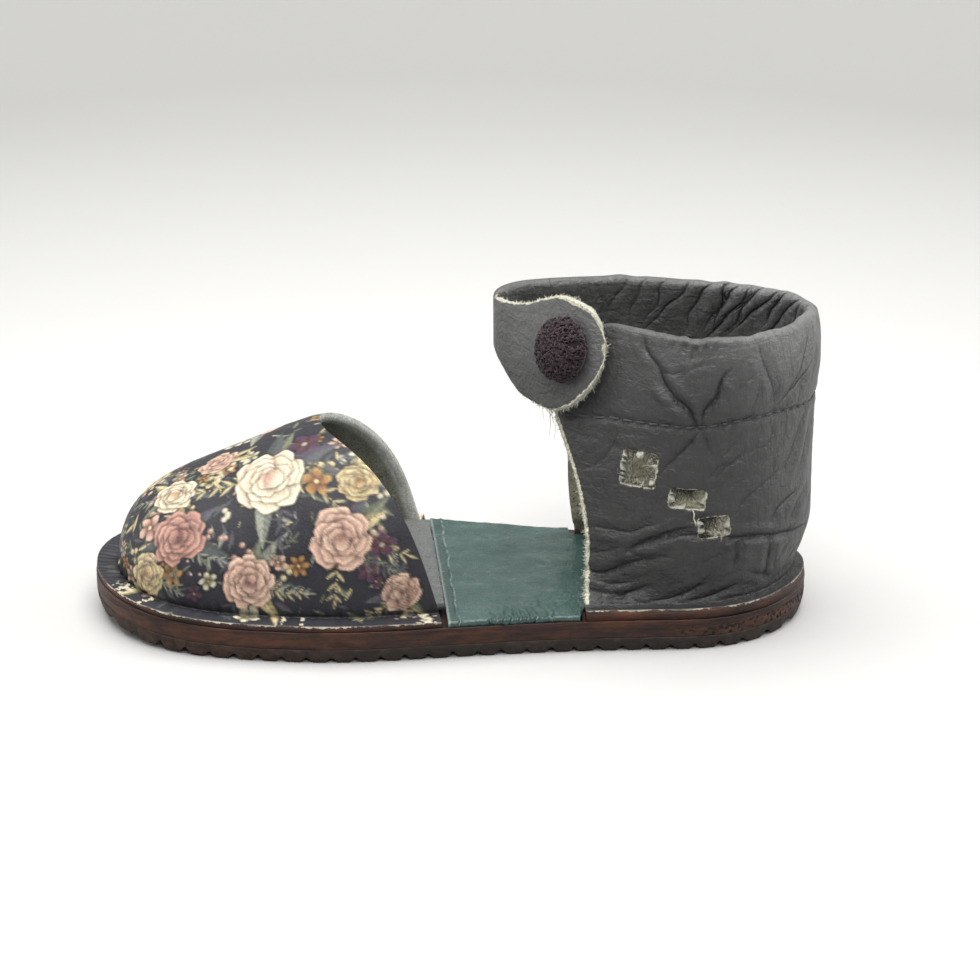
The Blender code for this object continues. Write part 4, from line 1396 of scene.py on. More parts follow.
# %% Tables of the quarter
COLLAR_TOP = 60.0
QUARTER_STATIONS = (
    ("name", "side", "foot_x", "mid_x", "mid_y", "top_x", "top_y", "top_z"),
    ("lateral_front", -1, 24.0, 24.2, -15.6, 14.5, 3.5, 50.0),
    ("lateral_waist", -1, 33.5, 33.5, -18.6, 29.5, -9.4, COLLAR_TOP),
    ("lateral_heel", -1, 45.0, 45.5, -20.2, 43.0, -18.0, COLLAR_TOP),
    ("lateral_back", -1, 56.0, 59.5, -15.5, 57.5, -15.6, COLLAR_TOP),
    ("heel_back", 0, 63.4, 67.5, -0.3, 67.8, 0.5, COLLAR_TOP),
    ("medial_back", 1, 56.0, 59.5, 13.6, 58.5, 11.8, COLLAR_TOP),
    ("medial_heel", 1, 46.0, 46.5, 17.8, 46.0, 16.6, COLLAR_TOP),
    ("medial_waist", 1, 34.5, 34.0, 19.6, 33.0, 19.3, COLLAR_TOP),
    ("medial_front", 1, 24.2, 22.9, 20.4, 18.6, 18.4, COLLAR_TOP),
)
STRAP_PATH = (
    ("x", "y", "low", "high", "lean"),
    (14.0, 17.3, 42.0, 60.0, -0.5),
    (9.8, 15.0, 47.2, 59.8, 0.0),
    (8.1, 12.4, 49.2, 59.4, 1.0),
    (9.0, 9.8, 47.4, 58.4, 3.0),
    (13.4, 4.9, 43.0, 59.2, 6.0),
    (17.5, 0.2, 42.8, 61.8, 7.5),
    (20.3, -2.9, 44.0, 63.2, 7.0),
    (24.6, -7.8, 48.8, 62.6, 5.0),
    (26.8, -10.2, 52.4, 60.0, 2.5),
    (27.6, -11.1, 54.4, 57.6, 1.0),
)
print("stations round the heel:", columns(QUARTER_STATIONS)["name"])

# %% [markdown]
# The wall stands on the sole's outline. From its foot it swells out, and higher up it leans in
# towards the ankle. At its foot the leather turns out into the flange with a round corner.

# %% Wall of the quarter
WALL_COLS = 240
FLANGE_ROWS = 8
LOW_ROWS = 58
STRAP_ROWS = 42
STRAP_LEVEL = 0.58
MID_LEVEL = 0.25
LEAN_POWER = 1.7
QUARTER_FLANGE = 2.1
FOLD_RADIUS = 1.3
CORNER_ROUND = 1.1
CORNER_HIGH = 1.6
CORNER_RISE = 0.35
BACK_SHARE = 0.62
BACK_STATION = 4
LAST_STATION = len(QUARTER_STATIONS) - 2

strap_row = FLANGE_ROWS + LOW_ROWS
top_row = strap_row + STRAP_ROWS
low_levels = np.linspace(0, STRAP_LEVEL, LOW_ROWS + 1)
strap_levels = np.linspace(STRAP_LEVEL, 1, STRAP_ROWS + 1)
levels = np.concatenate([low_levels, strap_levels[1:]])
round_share = np.linspace(0, 1, WALL_COLS + 1)
stations = steady((0, BACK_SHARE, 1), (0, BACK_STATION, LAST_STATION), round_share)


def foot_of(station):
    """Place of the wall's foot on the sole's outline, as an index round it."""
    table = columns(QUARTER_STATIONS)
    known = []
    for x, side in zip(table["foot_x"], table["side"]):
        lap = EDGE_POINTS if side > 0 else 0
        known.append(index_at(x, QUARTER_INSET, side) - lap if side else 0.0)
    return steady(np.arange(len(known)), known, station)


def wall_at(station, level):
    """Outside of the wall, a row for each level from its foot (0) to the collar's top (1)."""
    table = columns(QUARTER_STATIONS)
    knots = np.arange(LAST_STATION + 1)
    foot = place(ring(QUARTER_INSET), foot_of(station))
    mid = cubic(knots, np.stack([table["mid_x"], table["mid_y"]], axis=1), station)
    top = cubic(knots, np.stack([table["top_x"], table["top_y"]], axis=1), station)
    top_z = steady(knots, table["top_z"], station)
    base = flange_top(foot[:, 0], QUARTER_FLANGE)
    v = np.broadcast_to(level, (np.shape(level)[0], len(station)))[:, :, None]
    swell = 1 - (1 - np.minimum(v / MID_LEVEL, 1)) ** 2
    lean = np.maximum((v - MID_LEVEL) / (1 - MID_LEVEL), 0) ** LEAN_POWER
    xy = foot + (mid - foot) * swell + (top - mid) * lean
    z = base + v[:, :, 0] * (top_z - base)
    return np.concatenate([xy, z[:, :, None]], axis=2)


tall = (wall_at(stations, np.array([[1.0]])) - wall_at(stations, np.array([[0.0]])))[0, :, 2]
wall = wall_at(stations, levels[:, None] * (1 - FOLD_RADIUS / tall))
near_foot = hump(wall[:, :, 2] - wall[0, :, 2], CORNER_HIGH)
wall = wall + CORNER_ROUND * near_foot[:, :, None] * unit(outward_of(wall) * (1, 1, 0))
rim = place(ring(FLANGE_EDGE), foot_of(stations))
share = np.linspace(0, 1, FLANGE_ROWS + 1)[:-1, None, None]
flange_xy = rim + (wall[0, :, :2] - rim) * share
flange_z = flange_top(flange_xy[:, :, 0], QUARTER_FLANGE) + CORNER_RISE * share[:, :, 0] ** 3
wall[:, :, 2] += CORNER_RISE * near_foot
flange = np.concatenate([flange_xy, flange_z[:, :, None]], axis=2)
print("wall height in mm:", round(float(tall.mean()), 1))

# %% [markdown]
# The strap grows out of the wall's inner front. It goes forward, turns round the front of the
# ankle and lies over the outer wall as a round tab. The collar's fold runs on along it and ends
# at the turn, so the tab is a single layer.

# %% Strap
STRAP_COLS = 92
FOLD_END = 4
FOLD_FADE = 3.0
CROWDING = 0.08
STRAP_MIDDLE = 20


def strap_grid(start):
    """Columns of the strap after the wall's front column, from low to high, and its fold's radius."""
    table = columns(STRAP_PATH)
    plan = np.concatenate([[start[-1, :2]], np.column_stack([table["x"], table["y"]])])
    low = np.concatenate([[start[0, 2]], table["low"]])
    high = np.concatenate([[start[-1, 2] + FOLD_RADIUS], table["high"]])
    lean = np.concatenate([[start[-1, 1] - start[0, 1]], table["lean"]])
    knots = distance_along(plan)
    share = np.linspace(0, 1, STRAP_COLS + 1)[1:]
    at = knots[-1] * (share + CROWDING * np.sin(np.pi * share) * share)
    line = cubic(knots, plan, at)
    folded = FOLD_RADIUS * (1 - soft_step(knots[FOLD_END] - FOLD_FADE, knots[FOLD_END], at))
    up = ((strap_levels - STRAP_LEVEL) / (1 - STRAP_LEVEL))[:, None]
    bottom = steady(knots, low, at)
    z = bottom + up * (steady(knots, high, at) - folded - bottom)
    x = np.broadcast_to(line[:, 0], z.shape)
    y = line[:, 1] - steady(knots, lean, at) * (1 - up)
    return np.stack([x, y, z], axis=2), folded


strap, strap_fold = strap_grid(wall[LOW_ROWS:, -1])
print("strap length in mm:", distance_along(strap[STRAP_MIDDLE])[-1].round(1))

# %% [markdown]
# The fold is a half circle over the collar's top, and the leaf hangs inside at the width of the
# fold. It is 16 mm deep, or as deep as the strap is tall.

# %% Fold and leaf of the collar
FOLD_ROWS = 8
LEAF_ROWS = 26
COLLAR_DEEP = 16.0
LEAF_SHORT = 0.6
UPWARDS = np.array((0, 0, 1.0))

upper = np.concatenate([wall[LOW_ROWS:], strap], axis=1)
fold = np.concatenate([np.full(WALL_COLS + 1, FOLD_RADIUS), strap_fold])
inward = -outward_of(upper)
turn = np.linspace(0, np.pi, FOLD_ROWS + 1)[1:, None, None]
over_top = upper[-1] + fold[:, None] * ((1 - np.cos(turn)) * inward[-1] + np.sin(turn) * UPWARDS)
height = distance_along(upper)[-1]
deep = np.minimum(COLLAR_DEEP - FOLD_RADIUS, height - LEAF_SHORT)
drop = np.linspace(0, 1, LEAF_ROWS + 1)[1:, None] * deep


def down_from_top(values):
    """Values of the upper rows, read at each drop below the top."""
    at = np.clip((1 - drop / height) * STRAP_ROWS, 0, STRAP_ROWS)
    low = np.minimum(at.astype(int), STRAP_ROWS - 1)
    part = (at - low)[:, :, None]
    across = np.arange(upper.shape[1])
    return values[low, across] * (1 - part) + values[low + 1, across] * part


leaf = down_from_top(upper) + 2 * fold[:, None] * down_from_top(inward)
round_heel = slice(0, WALL_COLS + 1)
on_strap = slice(WALL_COLS + 1, None)
wall_rows = slice(FLANGE_ROWS, top_row + 1)
strap_rows = slice(strap_row, top_row + 1)
collar_rows = slice(top_row + 1, None)
sheet_size = (top_row + 1 + FOLD_ROWS + LEAF_ROWS, WALL_COLS + 1 + STRAP_COLS)
quarter_grid = np.zeros((*sheet_size, 3))
quarter_grid[:, on_strap] = strap[0]
quarter_grid[:FLANGE_ROWS, round_heel] = flange
quarter_grid[wall_rows, round_heel] = wall
quarter_grid[strap_rows, on_strap] = strap
quarter_grid[collar_rows] = np.concatenate([over_top, leaf])
print("rows of the quarter:", len(quarter_grid))

# %% [markdown]
# ### Creases
#
# Soft leather folds where it is pinched, so the main creases are modelled, not only painted. Each
# one is a path on the wall, given by how far it is round the heel from the outer front edge and
# how high it is, in millimetres. Along it the leather sinks into a sharp trough with a soft swelling
# on both sides. Sculpting would do the same, but a list keeps each fold where it belongs. The signed
# distance from the nearest crease is kept too, so that the finish can draw a thin line of painted
# shade along it.

# %% Crease helper
WALL_MIDDLE = 40
LINE_REACH = 0.6
CREASE_STEPS = 60
NO_LINE = 2.0

middle = np.concatenate([wall[WALL_MIDDLE], strap[STRAP_MIDDLE]])[:, :2]
round_all = distance_along(middle)
round_mm = round_all[round_heel]


def pinch(far):
    """Section of a crease: a sharp trough with a soft swelling on both sides."""
    return 0.45 * hump(far - 2.6, 1.3) - np.exp(-np.sqrt(far**2 + 0.06))


def fold_along(across, up, path, deep, wide):
    """Rise of a sheet along one crease, the signed distance from it, and how strong it is there."""
    knots = distance_along(path)
    fine = cubic(knots, path, np.linspace(0, knots[-1], CREASE_STEPS))
    heading = unit(np.gradient(fine, axis=0))
    far = np.hypot(across[..., None] - fine[:, 0], up[..., None] - fine[:, 1])
    nearest = far.argmin(axis=-1)
    far = far.min(axis=-1)
    away_x = across - fine[nearest, 0]
    away_z = up - fine[nearest, 1]
    side = heading[nearest, 0] * away_z - heading[nearest, 1] * away_x
    along = np.clip((nearest + 3) / (CREASE_STEPS + 5), 0, 1)
    strength = deep * np.sin(np.pi * along) ** 0.6
    return strength * pinch(far / wide), side, strength * hump(far, LINE_REACH)


print("leather round the heel in mm:", round(float(round_mm[-1]), 1))

# %% Creases of the heel wrap
WALL_CREASES = (
    ("path", "deep", "wide"),
    (((14.3, 58.5), (14.4, 56.7), (15.5, 54.8), (16.6, 53.0)), 0.45, 0.5),
    (((16.2, 53.6), (17.0, 50.7), (18.9, 48.3), (20.7, 46.6), (21.8, 43.4)), 1.0, 0.75),
    (((22.6, 43.4), (23.7, 46.8), (25.9, 49.5), (27.1, 52.8), (28.8, 54.6)), 0.65, 0.7),
    (((22.4, 43.1), (21.0, 40.8), (18.3, 37.9), (14.8, 34.2)), 0.45, 0.7),
    (((22.4, 43.1), (23.5, 40.8), (24.4, 38.0)), 0.3, 0.6),
    (((34.5, 58.4), (35.2, 54.2), (36.5, 50.3), (36.8, 45.9)), 0.4, 0.8),
    (((37.4, 46.1), (44.1, 49.9), (48.8, 52.5)), 0.5, 0.8),
    (((40.0, 47.5), (44.5, 53.0), (47.0, 57.5)), 0.45, 0.9),
    (((31.0, 45.0), (33.5, 49.0), (34.0, 53.0)), 0.25, 0.7),
    (((0.3, 22.4), (4.0, 22.8), (6.7, 22.5), (9.7, 22.7), (11.5, 23.7), (14.2, 24.5)), 0.5, 0.6),
    (((8.3, 18.5), (10.0, 20.0), (12.8, 21.3), (15.9, 22.7), (18.8, 23.8), (21.0, 24.3)), 0.8, 0.65),
    (((16.0, 21.6), (18.7, 22.4), (21.4, 22.5), (24.8, 22.1)), 0.5, 0.6),
    (((0.1, 14.2), (3.2, 13.9), (5.7, 14.7), (8.3, 16.1), (11.5, 17.2), (16.3, 18.2)), 0.7, 0.7),
    (((0.6, 17.5), (3.1, 18.0), (5.7, 18.7), (7.8, 20.4)), 0.35, 0.6),
    (((25.1, 22.7), (28.3, 21.6), (32.1, 21.4), (36.2, 20.7), (41.7, 19.8), (48.5, 19.0)), 0.95, 0.6),
    (((29.0, 21.2), (29.1, 18.4), (29.1, 15.3)), 0.45, 0.7),
    (((35.6, 20.3), (36.5, 17.0), (37.1, 13.7), (37.8, 11.5)), 0.6, 0.7),
    (((39.7, 11.2), (36.0, 12.6), (32.5, 13.9)), 0.35, 0.5),
    (((40.5, 12.0), (38.8, 14.4), (38.4, 16.6)), 0.3, 0.5),
    (((0.2, 10.9), (3.6, 10.4), (6.9, 10.2), (10.3, 9.4)), 0.3, 0.5),
    (((36.1, 23.1), (37.9, 25.6), (40.5, 26.8), (44.5, 28.2)), 0.5, 0.8),
    (((28.3, 25.9), (30.1, 28.4), (33.1, 30.8), (36.6, 32.6), (39.9, 33.8)), 0.3, 0.9),
    (((41.0, 21.0), (43.5, 24.5), (47.5, 27.0)), 0.4, 0.8),
    (((38.0, 31.0), (42.0, 36.0), (45.5, 42.0)), 0.35, 1.0),
    (((43.0, 30.0), (46.5, 34.5), (49.0, 41.0)), 0.35, 0.9),
    (((2.0, 33.0), (5.5, 36.0), (8.0, 40.5)), 0.3, 0.8),
    (((6.0, 38.5), (9.5, 37.6), (13.0, 38.6)), 0.22, 0.6),
    (((60.0, 19.0), (66.0, 18.0), (73.0, 18.8), (80.0, 17.6)), 0.6, 0.7),
    (((70.0, 24.0), (76.0, 22.4), (84.0, 23.4), (92.0, 21.6)), 0.5, 0.8),
    (((86.0, 15.4), (94.0, 16.8), (103.0, 15.8)), 0.5, 0.7),
    (((64.0, 30.0), (70.0, 34.5), (74.0, 41.0)), 0.35, 1.0),
    (((90.0, 30.0), (96.0, 34.0), (99.0, 40.5)), 0.35, 1.0),
    (((82.0, 44.0), (84.5, 49.0), (83.5, 55.0)), 0.45, 0.8),
    (((62.0, 45.0), (59.0, 50.0), (58.0, 56.0)), 0.4, 0.8),
    (((96.0, 45.0), (99.0, 50.0), (99.5, 56.0)), 0.35, 0.8),
    (((4.0, 9.4), (8.5, 10.4), (13.0, 12.2)), 0.4, 0.5),
    (((13.5, 9.2), (19.0, 10.2), (24.0, 12.6)), 0.45, 0.5),
    (((20.0, 9.2), (25.5, 9.8), (31.0, 11.6)), 0.4, 0.5),
    (((1.0, 12.9), (5.5, 12.1), (10.5, 12.9)), 0.35, 0.5),
)
print("creases drawn by hand:", len(WALL_CREASES) - 1)

# %% [markdown]
# Between the main creases lie many short ones. A seeded chance strews them over the wall: nearly
# level at the outer front, and steeper round the heel, where the leather was pulled upwards. Low
# soft lumps take away the last flatness.

# %% Fine creases
FINE_CREASES = 80
FINE_ROUND = (2, 108)
FINE_UP = (11, 57)

across = np.broadcast_to(round_mm, wall.shape[:2])
up = wall[:, :, 2]
sag = np.zeros(wall.shape[:2])
crease_side = np.full(sheet_size, NO_LINE)
crease_deep = np.zeros(sheet_size)
wall_side = crease_side[wall_rows, round_heel]
wall_deep = crease_deep[wall_rows, round_heel]
chance = np.random.default_rng(5)
fine_creases = []
for _ in range(FINE_CREASES):
    at = chance.uniform(*FINE_ROUND)
    middle_up = chance.uniform(*FINE_UP)
    heading = math.radians(6 + 58 * soft_step(16, 40, at) + 14 * chance.normal())
    bend = 0.25 * chance.normal()
    reach = chance.uniform(1.5, 4.2)
    steps = [(reach * s, heading + bend * s) for s in (-1, -0.3, 0.4, 1)]
    path = [(at + far * math.cos(way), middle_up + far * math.sin(way)) for far, way in steps]
    fine_creases.append((path, chance.uniform(0.1, 0.28), chance.uniform(0.35, 0.6)))
for path, deep, wide in WALL_CREASES[1:] + tuple(fine_creases):
    rise, side, strength = fold_along(across, up, path, deep, wide)
    sag += rise
    wall_side[:] = np.where(strength > wall_deep, side, wall_side)
    wall_deep[:] = np.maximum(wall_deep, strength)
soft = 0.16 * lumps(wall, 7.0, 9) + 0.09 * lumps(wall, 3.0, 10)
sag += soft * soft_step(8.5, 14, up)
print("deepest crease in mm:", sag.min().round(2))

# %% [markdown]
# A running stitch holds the collar's leaf, 16 mm below its top. The thread pulls the leather in,
# so the stitch line is a shallow trough that gets deeper at each stitch, and the double leather
# above it puffs out.

# %% Stitch line
STITCH_LINE = (
    ("round", "z"),
    (0.0, 41.2),
    (4.0, 42.2),
    (8.0, 43.2),
    (20.0, 43.3),
    (31.0, 44.5),
    (37.0, 44.8),
    (47.0, 43.8),
    (60.0, 43.6),
    (85.0, 44.0),
    (109.7, 43.6),
)
STITCH_PITCH = 2.15
PUFF = 0.8
PUFF_FROM = (14.0, 20.0)

stitch_line = columns(STITCH_LINE)
to_stitches = up - steady(stitch_line["round"], stitch_line["z"], across)
pull = 0.28 + 0.12 * np.cos(2 * np.pi * across / STITCH_PITCH)
sag -= pull * hump(to_stitches, 0.55)
sag += 0.12 * hump(np.abs(to_stitches) - 1.3, 0.7)
over_stitches = np.clip(to_stitches / (to_stitches[-1] + 1e-6), 0, 1)
sag += PUFF * np.sin(np.pi * over_stitches) ** 0.8 * soft_step(*PUFF_FROM, across)
print("stitches that fit round the heel:", int(round_mm[-1] / STITCH_PITCH))

# %% [markdown]
# An elastic in the fold gathers the collar: inside, slanting folds stand close together round the
# heel and get fewer towards the front. They run over the top of the fold and fade out outside.

# %% Gathers of the collar
GATHERS = (
    ("round", "deep", "slant"),
    (5.0, 0.25, 0.2),
    (10.0, 0.3, 0.1),
    (15.5, 0.45, 0.2),
    (19.0, 0.4, -0.1),
    (22.0, 0.8, 0.0),
    (24.8, 0.55, 0.2),
    (28.5, 0.4, -0.2),
    (33.0, 0.5, 0.3),
    (37.0, 0.5, -0.2),
    (41.0, 0.6, 0.3),
    (44.6, 0.7, 0.4),
    (48.0, 0.65, 0.5),
    (51.2, 0.7, 0.6),
    (54.4, 0.75, 0.7),
    (57.4, 0.8, 0.8),
    (60.2, 0.85, 0.9),
    (63.0, 0.9, 1.0),
    (65.9, 0.95, 1.1),
    (68.9, 0.9, 1.0),
    (71.6, 0.95, 0.9),
    (74.2, 0.85, 0.8),
    (77.0, 0.95, 0.6),
    (80.3, 0.6, 0.7),
    (84.4, 0.55, 0.9),
    (89.2, 0.4, 0.6),
    (93.0, 0.3, 0.5),
    (97.2, 0.3, 0.5),
    (101.5, 0.25, 0.2),
)
GATHER_DEEP = 0.6
NEAR_PUCKER = 22.8


def gathered(rows, below_top):
    """Sag of the fold or leaf by how far each row is below the top, and its signed lines."""
    found = np.zeros((rows, len(round_all)))
    side = np.full_like(found, NO_LINE)
    near = np.zeros_like(found)
    below = np.broadcast_to(below_top, found.shape)
    here = np.broadcast_to(round_all, found.shape)
    for at, deep, slant in GATHERS[1:]:
        wander = 0.6 * np.sin(below / 2.3 + at) + 0.3 * np.sin(below / 0.9 + 2 * at)
        gap = here - at - slant * below * 0.8 - wander
        middle = 4.5 + 4 * math.sin(2 * at) ** 2
        fades = hump(below - middle, 4 + 3 * math.sin(1.7 * at) ** 2)
        found += GATHER_DEEP * deep * fades * pinch(np.abs(gap) / (0.45 + 0.3 * math.sin(at) ** 2))
        close = deep * fades * hump(gap, LINE_REACH)
        side = np.where(close > near, gap, side)
        near = np.maximum(near, close)
    return found, side, near


arc = FOLD_RADIUS * np.linspace(0, np.pi, FOLD_ROWS + 1)[1:, None]
fold_sag, fold_side, fold_near = gathered(FOLD_ROWS, arc)
leaf_sag, leaf_side, leaf_near = gathered(LEAF_ROWS, np.pi * FOLD_RADIUS + drop)
over_fold = soft_step(0.8, 4.0, arc)
crease_side[collar_rows] = np.concatenate([fold_side, leaf_side])
crease_deep[collar_rows] = np.concatenate([fold_near * over_fold, leaf_near])
from_top = wall[-1, :, 2] - up
pucker = hump(across - NEAR_PUCKER, 3.6) * hump(from_top, 2.6)
sag -= pucker * (0.35 + 0.3 * np.cos(2 * np.pi * (across + 0.25 * from_top) / 1.9))
sag[:, WALL_COLS - 3 :] *= 0.3
quarter_sag = np.zeros(sheet_size)
quarter_sag[wall_rows, round_heel] = sag
quarter_sag[collar_rows] = np.concatenate([fold_sag * over_fold, leaf_sag])
print("gathers:", len(GATHERS) - 1)

# %% [markdown]
# The leather is grey with a soft gloss and a fine grain. Round the heel many fine lines run
# slanting down, so the sheet stores its own two coordinates, and a noise that is stretched along
# that slant makes the lines, with painted shade in them. Painted light makes the wall lighter
# upwards, much lighter at the collar's top and on the tab, and lighter where the lines are dense;
# down inside the collar's leaf it fades a little.

# %% Grey leather
FINE_SLANT = math.radians(28)
RIPPLE_SLANT = 0.12
TAB_LONG = 30.0
TAB_FADE = 4.0

grey = Finish("grey_leather", 0.5)
sheet_place = grey.read("on_sheet", "Vector")


def along_sheet(turn, scale):
    """Coordinates of the flat sheet, turned and stretched."""
    sockets = {"Vector": sheet_place, "Rotation": (0, 0, turn), "Scale": scale}
    return grey.add("ShaderNodeMapping", **sockets).outputs["Vector"]


lines = grey.grain(0.9, 4, 0.6, place=along_sheet(FINE_SLANT, (1.0, 0.16, 1.0)), twist=0.6)
ripples = grey.grain(1.5, 4, 0.6, place=along_sheet(RIPPLE_SLANT, (0.22, 1.0, 1.0)), twist=0.8)
lined = grey.read("lined")
cloud = grey.mix(grey.spread(grey.grain(9, 4), 0.3, 0.7), (0.036, 0.036, 0.0365), (0.05, 0.05, 0.0505))
rubbed = grey.mix(grey.spread(grey.grain(1.1, 5, 0.7), 0.5, 0.8, 0, 0.4), cloud, (0.075, 0.075, 0.074))
# Painted shade in the fine lines.
fine_line_shade = grey.times(grey.spread(lines, 0.46, 0.34, 0, 0.6), lined)
rubbed = grey.mix(fine_line_shade, rubbed, (0.016, 0.016, 0.017))
sheet_axes = grey.add("ShaderNodeSeparateXYZ", Vector=sheet_place).outputs
tab_from = (round_all[-1] - TAB_LONG) * MM
# Painted light: lighter upwards, at the collar's top, where the lines are dense and on the tab, and a
# little less deep in the leaf.
painted_light = grey.times(
    grey.spread(sheet_axes["Y"], 0.012, 0.047, 0.4, 0.66),
    grey.spread(sheet_axes["Y"], 0.046, 0.058, 1.0, 2.0),
    grey.spread(sheet_axes["Y"], 0.06, 0.066, 1.0, 0.7),
    grey.spread(lined, 0.3, 1.0, 1.0, 2.0),
    grey.spread(sheet_axes["X"], tab_from - TAB_FADE * MM, tab_from, 1.0, 1.5),
)
rubbed = grey.mix(1.0, rubbed, painted_light, "MULTIPLY")
print("tab starts at mm:", round(tab_from / MM, 1))

# %% [markdown]
# Troughs get painted shade. Each crease has a thin line of painted shade, which is also pressed in,
# and it wobbles a little, so that it doesn't look drawn with a pen. The cut outline shows pale suede.

# %% Lines and rims of the leather
# Painted shade in the troughs, by how deep each point lies.
shade = grey.mix(grey.spread(grey.read("sunk"), 0.25, 1.1, 0, 0.7), rubbed, (0.008, 0.008, 0.009))
wobble = grey.spread(grey.grain(1.3, 3), 0.3, 0.7, -0.16, 0.16)
from_line = grey.math("ABSOLUTE", grey.math("ADD", grey.read("crease_side"), wobble))
strong = grey.spread(grey.read("crease_deep"), 0.05, 0.5)
# A thin line of painted shade along each crease.
crease_shade_line = grey.times(grey.spread(from_line, 0.32, 0.06), strong)
shade = grey.mix(crease_shade_line, shade, (0.006, 0.006, 0.007))
line_groove = grey.times(grey.spread(from_line, 0.0, 0.6, -1, 0), strong)
ragged = grey.spread(grey.grain(0.7, 4, 0.7), 0.3, 0.7, -0.3, 0.3)
pale_rim = grey.math("LESS_THAN", grey.math("ADD", grey.read("from_edge"), ragged), 0.0)
suede_tone = grey.mix(grey.spread(grey.grain(0.35, 3), 0.35, 0.65), (0.2, 0.2, 0.14), (0.62, 0.6, 0.48))
shade = grey.mix(pale_rim, shade, suede_tone)
pebble = grey.cells(0.8)
wrinkle = grey.grain(2.2, 5, 0.62, twist=1.2)
fine_lines = grey.times(lines, lined)
grey.bumps((wrinkle, 0.4), (fine_lines, 0.45), (ripples, 0.24), (line_groove, 0.3), (pebble, 0.06))
grey_leather = grey.paint(shade, grey.spread(grey.grain(1.5, 4), 0.3, 0.7, 0.4, 0.56))
print("leather finish:", grey_leather.name)

# %% [markdown]
# The three square holes in the outer wall were cut with a knife, so their outlines are a little
# uneven. The grid's vertices near an outline are pulled onto it, and the faces inside are deleted
# before the sheet gets its thickness, so that the hole's edge becomes a cut edge too.

# %% Square holes
HOLES = (
    ("x", "z", "wide", "tall", "turn"),
    (33.6, 34.6, 6.7, 6.6, -5.0),
    (42.4, 29.6, 6.8, 3.8, -4.0),
    (47.4, 24.1, 6.1, 4.0, 4.0),
)
HOLE_CORNER = 0.8
HOLE_RAGGED = 0.17
HOLE_REACH = 6.0
ONTO_OUTLINE = 0.3
FAR_AWAY = 99.0


def wall_spot(x, z):
    """Point of the outer wall at this x and height, and the way out of the wall there."""
    flat = wall.reshape(-1, 3)
    far = np.hypot(flat[:, 0] - x, flat[:, 2] - z) + 1e9 * (flat[:, 1] > 0)
    near = np.argsort(far)[:4]
    out = unit(outward_of(wall).reshape(-1, 3)[near].mean(axis=0))
    return np.array([x, flat[near, 1].mean(), z]), out


def hole_frame(x, z, turn):
    """Middle of a hole, its two turned directions along the wall, and the way out of the wall."""
    centre, out = wall_spot(x, z)
    sideways = unit(np.cross(UPWARDS, out))
    upward = np.cross(out, sideways)
    c = math.cos(math.radians(turn))
    s = math.sin(math.radians(turn))
    return centre, c * sideways + s * upward, c * upward - s * sideways, out


def hole_outline(points, x, z, wide, tall, turn):
    """Distance of points from a hole's outline (negative inside), and the way out of it."""
    centre, first, second, out = hole_frame(x, z, turn)
    p = (points - centre) @ first
    q = (points - centre) @ second
    dx = np.abs(p) - wide / 2 + HOLE_CORNER
    dy = np.abs(q) - tall / 2 + HOLE_CORNER
    outside = np.hypot(np.maximum(dx, 0), np.maximum(dy, 0))
    far = outside + np.minimum(np.maximum(dx, dy), 0) - HOLE_CORNER
    at_corner = (dx > 0) & (dy > 0)
    size = np.maximum(np.hypot(dx, dy), 1e-9)
    way_p = np.where(at_corner, dx / size, dx > dy) * np.sign(p)
    way_q = np.where(at_corner, dy / size, dx <= dy) * np.sign(q)
    elsewhere = np.abs((points - centre) @ out) > HOLE_REACH
    return np.where(elsewhere, FAR_AWAY, far), way_p[..., None] * first + way_q[..., None] * second


print("middle of the first hole in mm:", hole_frame(*HOLES[1][:2], HOLES[1][4])[0].round(1))

# %% [markdown]
# Now the sheet gets its creases, and the collar's top a slow wave. The holes come last, so that
# their outlines are cut into the finished shape.

# %% Shape of the quarter
TOP_WAVE = 0.5
TOP_WAVE_ROWS = 24
TOP_WAVE_END = (98, 106)
PUCKER_DIP = 0.6

quarter_shape = quarter_grid + quarter_sag[:, :, None] * outward_of(quarter_grid)
round_spots = np.stack([round_all, 0 * round_all, 0 * round_all], axis=1)
top_wave = TOP_WAVE * lumps(round_spots, 3.5, 15) - PUCKER_DIP * hump(round_all - NEAR_PUCKER, 1.6)
top_wave *= soft_step(*PUFF_FROM, round_all) * (1 - soft_step(*TOP_WAVE_END, round_all))
wall_share = soft_step(top_row - TOP_WAVE_ROWS, top_row, np.arange(top_row + 1))
row_share = np.concatenate([wall_share, np.ones(FOLD_ROWS), np.linspace(1, 0, LEAF_ROWS)])
quarter_shape[:, :, 2] += row_share[:, None] * top_wave
lateral_wall = np.zeros(sheet_size, bool)
lateral_wall[FLANGE_ROWS:top_row, : WALL_COLS // 2] = True
from_hole = np.full(sheet_size, FAR_AWAY)
ragged = HOLE_RAGGED * lumps(quarter_grid, 1.3, 8)
for hole in HOLES[1:]:
    far, way = hole_outline(quarter_grid, *hole)
    far = np.where(lateral_wall, far + ragged, FAR_AWAY)
    near = np.abs(far) < ONTO_OUTLINE
    quarter_shape[near] -= (far[:, :, None] * way)[near]
    from_hole = np.minimum(from_hole, np.where(near, 0.0, far))
print("grid points inside the holes:", int((from_hole < 0).sum()))

# %% [markdown]
# The finish asks for several things that only the sheet knows: how deep a point lies, which it
# turns into painted shade, where the lines of the creases are, and where on the flat leather it is.
# Each one is an attribute.

# %% Quarter sheet
FOOT_SHADE = 0.5
LEAF_SHADE = 0.4
LINED = (
    ("round", "share"),
    (0, 0.25),
    (24, 0.3),
    (36, 0.75),
    (46, 1.0),
    (70, 1.0),
    (90, 0.5),
    (150, 0.2),
)

quarter, row, col = sheet_through("quarter_leather", quarter_shape)
dress(quarter, grey_leather, suede, cut_edge, flange_edge)
